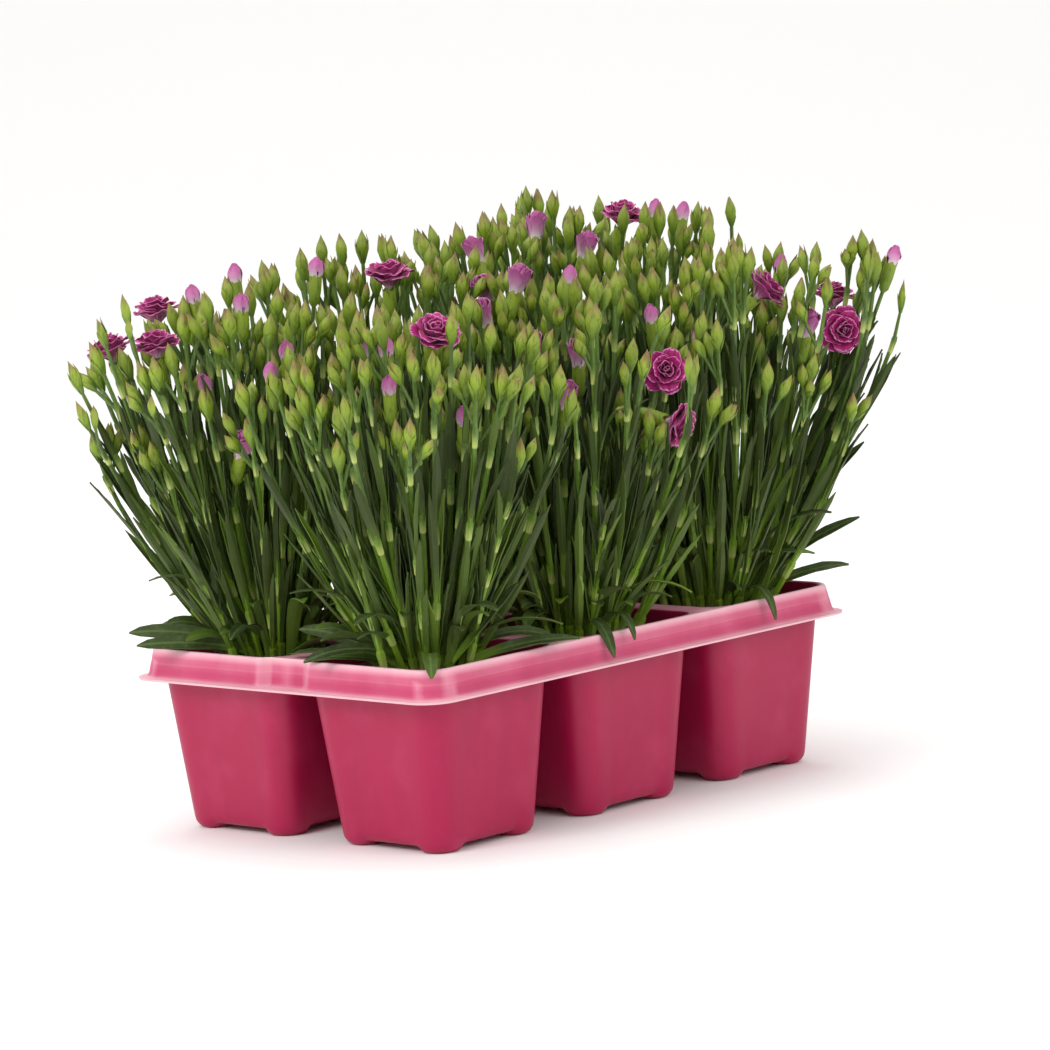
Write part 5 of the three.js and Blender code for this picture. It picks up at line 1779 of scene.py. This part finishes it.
def leaf_shapes(stem, share, order, plan):
    """The pair of leaves at a node that the plan hasn't."""
    size = float(np.interp(share, *LEAF_SIZES))
    shapes = leaf_pair(stem["control"], share, order, size, stem["turn"] + order, plan["draw"],
                       CLOSE_LEAVES)
    for shape in shapes:
        shape["width"] *= 0.42 + 0.25 * size
        bend_clear(shape["control"], plan["around"], None, True)
    return shapes


print("a leaf's size halfway up a stem", np.interp(0.5, *LEAF_SIZES).round(2))

# %% [markdown]
# ## Growing buds
#
# The bud at a stem's end is the largest. Below it stand the planned side buds, and on two of five
# stems one more on a short stalk. Each bud leans a little out of line, is turned at random and
# takes one of the three patterns. A flower's calyx is laid between its stem and its seat.

# %% Lay buds and calyces
STALK_RADIUS = 0.8
TIP_BUD = (15.0, 2.8)
SIDE_BUD_LENGTHS = (10.5, 13.5)
SIDE_BUD_RADII = (2.15, 0.4)
SIDE_BUD_SHARE = 0.45
# one more stalk: where on the stem, its lean in degrees and its length
MORE_PLACES = (0.82, 0.1)
MORE_LEANS = (20, 14)
MORE_LENGTHS = (20, 7)
MORE_CHANCE = 0.4
# A calyx stays green to its mouth, so it takes the shades of a bud's lower half.
CALYX_SHADES = (0.2, 0.6)
CALYX_SLACK = 0.98


def add_bud(buds, base, way, length, radius, room, draw):
    pattern = bud_patterns[int(draw() * 2.999)]
    lean = heading(2 * math.pi * draw()) * 0.6
    control = [base, base + way * length / 2, base + way * length + lean]
    side = unit(np.cross(way, heading(2 * math.pi * draw()) + UP * 0.1))
    points = lay(pattern, control, side, radius, depth=radius)
    buds.add(pattern, keep_in(room, points), draw())


def grow_buds(stem, plan, stems, buds, tint):
    draw, room, control = plan["draw"], stem["room"], stem["control"]
    size = stem["size"]
    way = curve_direction(control, 1.0)
    add_bud(buds, control[-1] - way * 0.8, way, TIP_BUD[0] * size, TIP_BUD[1] * size, room, draw)
    stalks = [shape["control"] for shape in stem["buds"]]
    if draw() > 1 - MORE_CHANCE:
        share = pick(MORE_PLACES, draw)
        root, direction = curve_point(control, share), curve_direction(control, share)
        outwards = side_heading(control, share, stem["turn"], 0, 0.5)
        lean = unit(direction + outwards * math.tan(math.radians(pick(MORE_LEANS, draw))))
        stalk = [root, root + lean * pick(MORE_LENGTHS, draw)]
        bend_clear(stalk, plan["around"], None, True)
        stalks.append(stalk)
    for root, tip in stalks:
        lean, reach = unit(tip - root), float(np.linalg.norm(tip - root))
        length = min(max(SIDE_BUD_SHARE * reach, SIDE_BUD_LENGTHS[0]), SIDE_BUD_LENGTHS[1])
        foot = tip - lean * length
        add_tube(stems, stalk_tube, [root, root + lean, foot + lean * 0.5], room,
                 STALK_RADIUS, STALK_RADIUS, tint)
        add_bud(buds, foot, lean, length, pick(SIDE_BUD_RADII, draw), room, draw)


def add_calyx(buds, flower, draw):
    foot = flower["seat"] - flower["axis"] * flower["calyx"]
    control = [foot, (foot + flower["seat"]) / 2, flower["seat"] + flower["axis"] * 0.6]
    side = cross_axes(flower["axis"], heading(flower["turn"]))[0]
    radius = flower["radius"] * CALYX_SLACK
    points = lay(calyx_pattern, control, side, radius, depth=radius)
    along = np.interp(calyx_pattern.points[:, 1], (0, 1), CALYX_SHADES)
    buds.add(calyx_pattern, points, draw(), along=along)


def grow_stem(stem, plan, stems, leaves, buds):
    draw, room, control = plan["draw"], stem["room"], stem["control"]
    length = float(np.linalg.norm(control[-1] - control[0]))
    tint = draw()
    add_tube(stems, stem_tube, control, room, STEM_THICK, STEM_THIN, tint)
    for index, shape in enumerate(stem["leaves"]):
        shape["width"] *= PLANNED_LEAF_WIDTH
        tuck_leaf(shape, curve_direction(control, stem["nodes"][index // 2]))
        add_leaf(leaves, shape, room, draw)
    for share in stem["nodes"]:
        add_sheath(stems, stem, share, tint)
    for order, share in enumerate(extra_nodes(stem, length)):
        add_sheath(stems, stem, share, tint)
        for shape in leaf_shapes(stem, share, order, plan):
            add_leaf(leaves, shape, room, draw)
    if stem["flower"] is None:
        grow_buds(stem, plan, stems, buds, tint)


print("a bud at a stem's end is", TIP_BUD[0], "mm long")

# %% [markdown]
# ## Shoots and leaves at the foot
#
# Under the flowering stems the pot is full of short shoots that bear only leaves, and the oldest
# leaves lie over the rim. The shoots are laid like the stems. The curves of the leaves over the rim
# are written out, with a roll that turns a leaf's face to one side.

# %% Leaves at the foot of a plant
LOW_LEAVES = 14
LOW_ROLL = 0.8
SHOOT_SPACING = 17
SHOOT_LEAVES = (4, 7)
SHOOT_LEAF_WIDTH = 0.75
SHOOT_FOOT = 0.12
# old leaves over the rim are dark
RIM_BRIGHTEST = 0.6
# plant, width, roll, then the root, the shoulder and the tip of the leaf's curve
RIM_LEAVES = (
    (4, 6.8, 1.0, (-8, -6, 76), (-34, 14, 93), (-50, 42, 90)),
    (4, 6.4, 0.9, (-10, -8, 76), (-38, 4, 89), (-57, 30, 86)),
    (4, 6.0, 0.5, (-12, -18, 76), (-14, -46, 92), (-18, -72, 86)),
    (1, 5.8, 0.9, (-20, -6, 77), (-27, 20, 95), (-28, 50, 93)),
    (1, 6.6, 0.0, (-14, -14, 78), (-37, -37, 97), (-42, -42, 79)),
    (1, 6.2, -0.8, (-2, -20, 77), (12, -42, 89), (40, -53, 85)),
    (1, 6.0, -0.6, (-8, -22, 80), (0, -38, 100), (14, -42, 112)),
    (2, 5.6, 0.0, (-16, -18, 78), (-26, -40, 99), (-27, -49, 72)),
    (2, 5.0, 0.3, (-8, -20, 78), (-12, -42, 100), (-14, -50, 78)),
    (3, 5.0, 0.0, (-6, -20, 78), (-10, -43, 99), (-12, -51, 73)),
    (1, 5.8, -0.3, (0, -14, 78), (22, -26, 96), (44, -36, 83)),
    (1, 6.4, 0.5, (-14, -2, 76), (-30, 12, 87), (-46, 30, 83)),
    (1, 6.2, 0.2, (-12, 4, 76), (-26, 26, 87), (-38, 46, 84)),
    (1, 5.6, 0.6, (-10, -8, 78), (-36, 6, 95), (-54, 22, 84)),
    (3, 5.6, -0.8, (6, -14, 77), (30, -34, 92), (48, -46, 90)),
    (3, 5.2, -0.7, (4, -12, 78), (28, -34, 104), (50, -52, 112)),
    (3, 4.8, -0.6, (4, -10, 80), (32, -36, 124), (56, -52, 146)),
    (6, 5.6, 0.0, (14, 10, 77), (38, 20, 96), (56, 24, 84)),
    (6, 5.4, 0.0, (4, 18, 77), (8, 40, 98), (12, 52, 80)),
    (5, 5.6, 0.0, (-6, 18, 77), (-14, 40, 99), (-18, 52, 76)),
    (4, 5.4, 0.0, (2, 20, 77), (10, 42, 96), (22, 54, 84)),
)


def low_leaf(index, draw):
    """One of the leaves round the foot, low over the rim's crest."""
    outwards = heading(2 * math.pi * (index + 0.7 * draw()) / LOW_LEAVES)
    ring, reach, rise = 12 + 10 * draw(), 36 + 17 * draw(), 10 + 18 * draw()
    control = [outwards * ring + UP * CROWN_TOP,
               outwards * 0.5 * (ring + reach) + UP * (CROWN_TOP + rise + 6),
               outwards * reach + UP * (CROWN_TOP + rise)]
    return {"control": control, "width": 5.2 + 1.8 * draw(), "outwards": outwards}


def add_foot_leaves(leaves, plan):
    draw, room = plan["draw"], plan["room"]
    for index in range(LOW_LEAVES):
        shape = low_leaf(index, draw)
        add_leaf(leaves, shape, room, draw, broad_leaf, LOW_ROLL * (draw() - 0.5))
    for plant, width, roll, root, shoulder, tip in RIM_LEAVES:
        if plant == plan["number"]:
            control = [np.array(point, dtype=float) for point in (root, shoulder, tip)]
            outwards = unit((control[2] - control[0]) * (1, 1, 0))
            shape = {"control": control, "width": width, "outwards": outwards}
            add_leaf(leaves, shape, room, draw, broad_leaf, roll, RIM_BRIGHTEST)


def grow_shoot(shoot, plan, stems, leaves):
    draw, room, control = plan["draw"], shoot["room"], shoot["control"]
    length = float(np.linalg.norm(control[-1] - control[0]))
    tint = draw()
    add_tube(stems, stem_tube, control, room, STEM_THICK, STEM_THIN, tint)
    share, order = SHOOT_FOOT, 0
    while share < 1:
        add_sheath(stems, shoot, min(share, 0.97), tint)
        size = 0.8 - 0.25 * share
        for shape in leaf_pair(control, min(share, 0.99), order, size, shoot["turn"] + order, draw,
                               SHOOT_LEAVES):
            shape["width"] *= SHOOT_LEAF_WIDTH
            bend_clear(shape["control"], plan["around"], None, True)
            add_leaf(leaves, shape, room, draw)
        share += SHOOT_SPACING / length
        order += 1


print("leaves over the rim", len(RIM_LEAVES))

# %% [markdown]
# ## Growing the plants
#
# A plant is gathered into three pieces by finish: stems, leaves and buds. Whatever leans out of the
# solids' box is bent back over its last millimetres, so that the part keeps its size.

# %% Grow the six plants
SOLIDS_LOW, SOLIDS_HIGH = (np.array(corner) / MM for corner in solid_box)
FREE_SIDE = 500
EDGE_BEND = 3


def reach_of(number):
    """How far a plant's pieces may go from its pot's middle, so that they stay with the solids."""
    column, row = POT_PLACES[number - 1]
    middle = pot_centre(column, row) / MM
    low, high = middle - SOLIDS_LOW, SOLIDS_HIGH - middle
    return (low[0] if column == 0 else FREE_SIDE, high[0] if column == 2 else FREE_SIDE,
            low[1] if row == 0 else FREE_SIDE, high[1] if row == 1 else FREE_SIDE)


def make_plant(plan):
    number, draw = plan["number"], plan["draw"]
    stems, leaves, buds = Gathering(), Gathering(), Gathering()
    for stem in plan["stems"]:
        grow_stem(stem, plan, stems, leaves, buds)
    for shape in plan["basal"]:
        add_leaf(leaves, shape, plan["stems"][0]["room"], draw, broad_leaf)
    add_foot_leaves(leaves, plan)
    for shoot in plan["shoots"]:
        grow_shoot(shoot, plan, stems, leaves)
    for flower in flowers:
        if flower["plant"] == number:
            add_calyx(buds, flower, draw)
    place = pot_centre(*POT_PLACES[number - 1]) / MM
    reach = reach_of(number)
    pieces = []
    for gathering, kind, material in ((stems, "stems", green_stem), (leaves, "leaves", green_leaf),
                                      (buds, "buds", green_bud)):
        gathering.points = [keep_in(reach, points, bend=EDGE_BEND) + place
                            for points in gathering.points]
        piece = gathering.make(f"{kind}_{number}", material)
        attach(piece, "root")
        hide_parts(f"plant_{number}")
        pieces.append(piece)
    return pieces


for plan in plans:
    print("plant", plan["number"], [len(piece.data.polygons) for piece in make_plant(plan)], "faces")

# %% [markdown]
# ## Petals
#
# The flowers are double: an open one holds more than twenty petals, the outer ones flat and the
# inner ones cupped and half curled. A petal is a fan on a narrow claw, with a toothed, gently
# ruffled edge. One grid is shaped into a flat petal with low teeth, and its second skin is set a
# sheet's thickness behind the first. Laying it along a curve bends it outwards, and a curl across
# the curve cups it.

# %% Model the petals
# share of the petal's length, and its half-width beside the widest place
PETAL_WIDTHS = ((0, 0.14), (0.25, 0.32), (0.45, 0.68), (0.62, 0.94), (0.78, 1.0), (0.92, 0.9),
                (1, 0.78))
PETAL_SHEET = 0.28
TOOTH = 0.007
TEETH_START = 0.8


def petal_place(u, v, columns, phase, ruffle, claw):
    half = max(claw, np.interp(v, *zip(*PETAL_WIDTHS)))
    column = round((u + 1) / 2 * columns)
    tooth = (TOOTH if column % 2 else -TOOTH) * max(0.0, v - TEETH_START) / 0.2
    top = v * (1 - 0.06 * u * u - 0.2 * u ** 4) + tooth + 0.025 * math.sin(5 * u + phase) * v * v
    broad_wave = ruffle * v * v * math.sin(4.2 * u + phase)
    fine_wave = 0.4 * ruffle * v ** 3 * math.sin(9 * u - phase)
    return (u * half, top, broad_wave + fine_wave)


def model_petal(columns, rows, phase, ruffle, claw=0.0):
    shape = (columns, phase, ruffle, claw)
    pattern = read_pattern(shape_grid("petal", columns, rows, 0.0001, petal_place, *shape))
    half = len(pattern.points) // 2
    pattern.points[half:] = pattern.points[:half] - (0, 0, PETAL_SHEET)
    pattern.across = np.tile(np.linspace(-1, 1, columns + 1), 2 * (rows + 1))
    pattern.along = np.tile(np.repeat(np.linspace(0, 1, rows + 1), columns + 1), 2)
    return pattern


PETALS = {
    "open_bloom": [model_petal(9, 6, phase, ruffle)
                   for phase, ruffle in ((0.0, 0.6), (2.1, 0.8), (4.0, 0.45))],
    "half_bloom": [model_petal(7, 6, phase, 0.3, 0.5) for phase in (1.0, 3.0)],
    "opening_bud": [model_petal(5, 5, 1.0, 0.2, 0.55)],
}
print("petals", {kind: len(patterns[0].sizes) for kind, patterns in PETALS.items()}, "faces")

# %% [markdown]
# ## Petal surface
#
# The face of a petal is deep magenta with a velvety depth, and a pale pink margin about one
# millimetre wide follows its teeth. The margin runs inwards in short streaks. The outside of the
# petal is a cool pink that pales to white at the claw, which is what a half-open flower shows.
# Velvet is a rough surface with some sheen.

# %% The finish of petals
def petal_finish(name, inside, margin, outside):
    material, tree, along, across, tint, under = new_material(name, SHADES)
    width = add_node(tree, "Math", {"operation": "ABSOLUTE"}, {0: across})
    sideways = add_node(tree, "Math", {"operation": "MULTIPLY", 1: 0.97}, {0: width})
    high = add_node(tree, "MapRange", {"ends": (0.3, 0.6, 0, 1)}, {"Value": along})
    flank = add_node(tree, "Math", {"operation": "MULTIPLY"}, {0: sideways, 1: high})
    edge = add_node(tree, "Math", {"operation": "MAXIMUM"}, {0: along, 1: flank})
    spread = add_node(tree, "CombineXYZ", links={"X": across, "Y": along, "Z": tint})
    squeeze = add_node(tree, "Mapping", {"Scale": (9.0, 1.6, 30.0)}, {"Vector": spread})
    streak = add_node(tree, "TexNoise", {"Scale": 1.0, "Detail": 3.0}, {"Vector": squeeze})
    uneven = add_node(tree, "Math", {"operation": "MULTIPLY_ADD", 1: 0.2}, {0: streak, 2: edge})
    pale = add_node(tree, "MapRange", {"ends": (1.045, 1.095, 0, 0.75)}, {"Value": uneven})
    fade = add_node(tree, "Math", {"operation": "MULTIPLY_ADD", 1: 0.4}, {0: along, 2: streak})
    depth = add_node(tree, "ValToRGB", {"stops": inside}, {"Fac": fade})
    face = add_node(tree, "Mix", {**MIX, 7: margin}, {0: pale, 6: depth}, output=2)
    back = add_node(tree, "ValToRGB", {"stops": outside}, {"Fac": along})
    skin = add_node(tree, "Mix", MIX, {0: under, 6: face, 7: back}, output=2)
    tone = add_node(tree, "MapRange", {"ends": (0, 1, 0.85, 1.1)}, {"Value": tint})
    final = add_node(tree, "Mix", MULTIPLY, {6: skin, 7: tone}, output=2)
    bump = add_node(tree, "Bump", {"Strength": 0.2, "Distance": 0.0002}, {"Height": streak})
    velvet = {"Roughness": 0.62, "Sheen Weight": 0.12, "Sheen Roughness": 0.4}
    return add_surface(material, velvet, {"Base Color": final, "Normal": bump})


open_finish = petal_finish(
    "velvety magenta petal", ((0.52, "#66002C"), (0.72, "#92044C"), (0.94, "#B20E7C")), "#E4A4CE",
    ((0.0, "#E2C6D4"), (0.35, "#BE6698"), (0.7, "#A8367C"), (1.0, "#9C1A68")))
half_finish = petal_finish(
    "cool pink petal back", ((0.5, "#7C0C48"), (0.75, "#9A1E68"), (0.98, "#AC347E")), "#D8A2C6",
    ((0.0, "#E2DADA"), (0.35, "#CE9ABC"), (0.7, "#BC669E"), (1.0, "#AE4C8E")))
print("finishes", open_finish.name, "|", half_finish.name)

# %% [markdown]
# ## Flowers
#
# A flower is built in whorls round its axis. Every row below gives one whorl: how many petals, the
# curve of a petal as distances from the axis and heights over the seat, its half-width and the
# radius it curls to. Each petal is turned, lengthened and widened a little at random.

# %% Lay the petals of the three kinds of flower
WHORLS = {
    "open_bloom": (
        (5, ((0.9, 0.3), (2.2, 4.0), (6.2, 6.6), (11.2, 6.8)), 6.6, 14),
        (5, ((0.8, 0.4), (1.9, 5.8), (5.0, 8.3), (9.4, 9.2)), 5.9, 9),
        (5, ((0.7, 0.5), (1.6, 6.5), (3.4, 9.6), (6.2, 11.2)), 4.9, 5.5),
        (4, ((0.5, 0.5), (1.3, 6.0), (2.2, 9.6), (3.2, 12.4)), 4.1, 3.4),
        (3, ((0.3, 0.5), (0.8, 5.0), (1.2, 8.6), (0.6, 12.0)), 3.2, 2.0)),
    "half_bloom": (
        (5, ((2.3, -1.2), (2.9, 3.0), (4.5, 6.6), (5.0, 9.8)), 4.2, 4.6),
        (5, ((1.9, -0.8), (2.4, 3.8), (3.7, 7.8), (3.3, 11.2)), 3.7, 3.8),
        (4, ((1.2, -0.6), (1.6, 4.2), (2.4, 8.4), (1.2, 12.0)), 3.0, 2.6)),
    "opening_bud": (
        (4, ((2.1, -1.0), (3.0, 2.0), (3.5, 4.8), (1.3, 6.9)), 3.4, 3.2),
        (3, ((1.2, -0.6), (2.2, 2.4), (2.6, 5.4), (0.5, 8.0)), 2.7, 2.2)),
}
FLOWER_SEED = 2000
SEED_STEP = 13
WHORL_TURN = 1.1
PETAL_SIZES = (0.93, 0.14)
PETAL_CURLS = (0.9, 0.3)
PETAL_LIFTS = {"open_bloom": 1.6, "half_bloom": 0.7, "opening_bud": 0.7}


def make_flower(flower, number):
    kind, axis, seat = flower["kind"], flower["axis"], flower["seat"]
    draw = make_random(FLOWER_SEED + SEED_STEP * number)
    gathered = Gathering()
    first, second = cross_axes(axis, heading(flower["turn"] + 0.3))
    phase = 2 * math.pi * draw()
    for order, (count, profile, half_width, curl) in enumerate(WHORLS[kind]):
        for index in range(count):
            turned = index + 0.35 * (draw() - 0.5)
            angle = phase + order * WHORL_TURN + 2 * math.pi * turned / count
            out = first * math.cos(angle) + second * math.sin(angle)
            side = np.cross(out, axis)
            size = pick(PETAL_SIZES, draw)
            lift = (draw() - 0.5) * PETAL_LIFTS[kind]
            control = [seat + out * reach * size + axis * (height + lift * step / 3)
                       for step, (reach, height) in enumerate(profile)]
            pattern = PETALS[kind][int(draw() * 0.999 * len(PETALS[kind]))]
            points = lay(pattern, control, side, half_width * size,
                         curl=curl * pick(PETAL_CURLS, draw), twist=0.5 * (draw() - 0.5))
            gathered.add(pattern, points, draw(), pattern.along, pattern.across)
    place = pot_centre(*POT_PLACES[flower["plant"] - 1]) / MM
    reach = reach_of(flower["plant"])
    gathered.points = [keep_in(reach, points, bend=EDGE_BEND) + place for points in gathered.points]
    material = open_finish if kind == "open_bloom" else half_finish
    piece = gathered.make(f"petals_of_{flower['name']}", material, sharp_degrees=70)
    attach(piece, "root")
    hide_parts(flower["name"])
    return len(piece.data.polygons)


count = sum(make_flower(flower, number) for number, flower in enumerate(flowers))
print("flowers", len(flowers), "with", count, "faces")
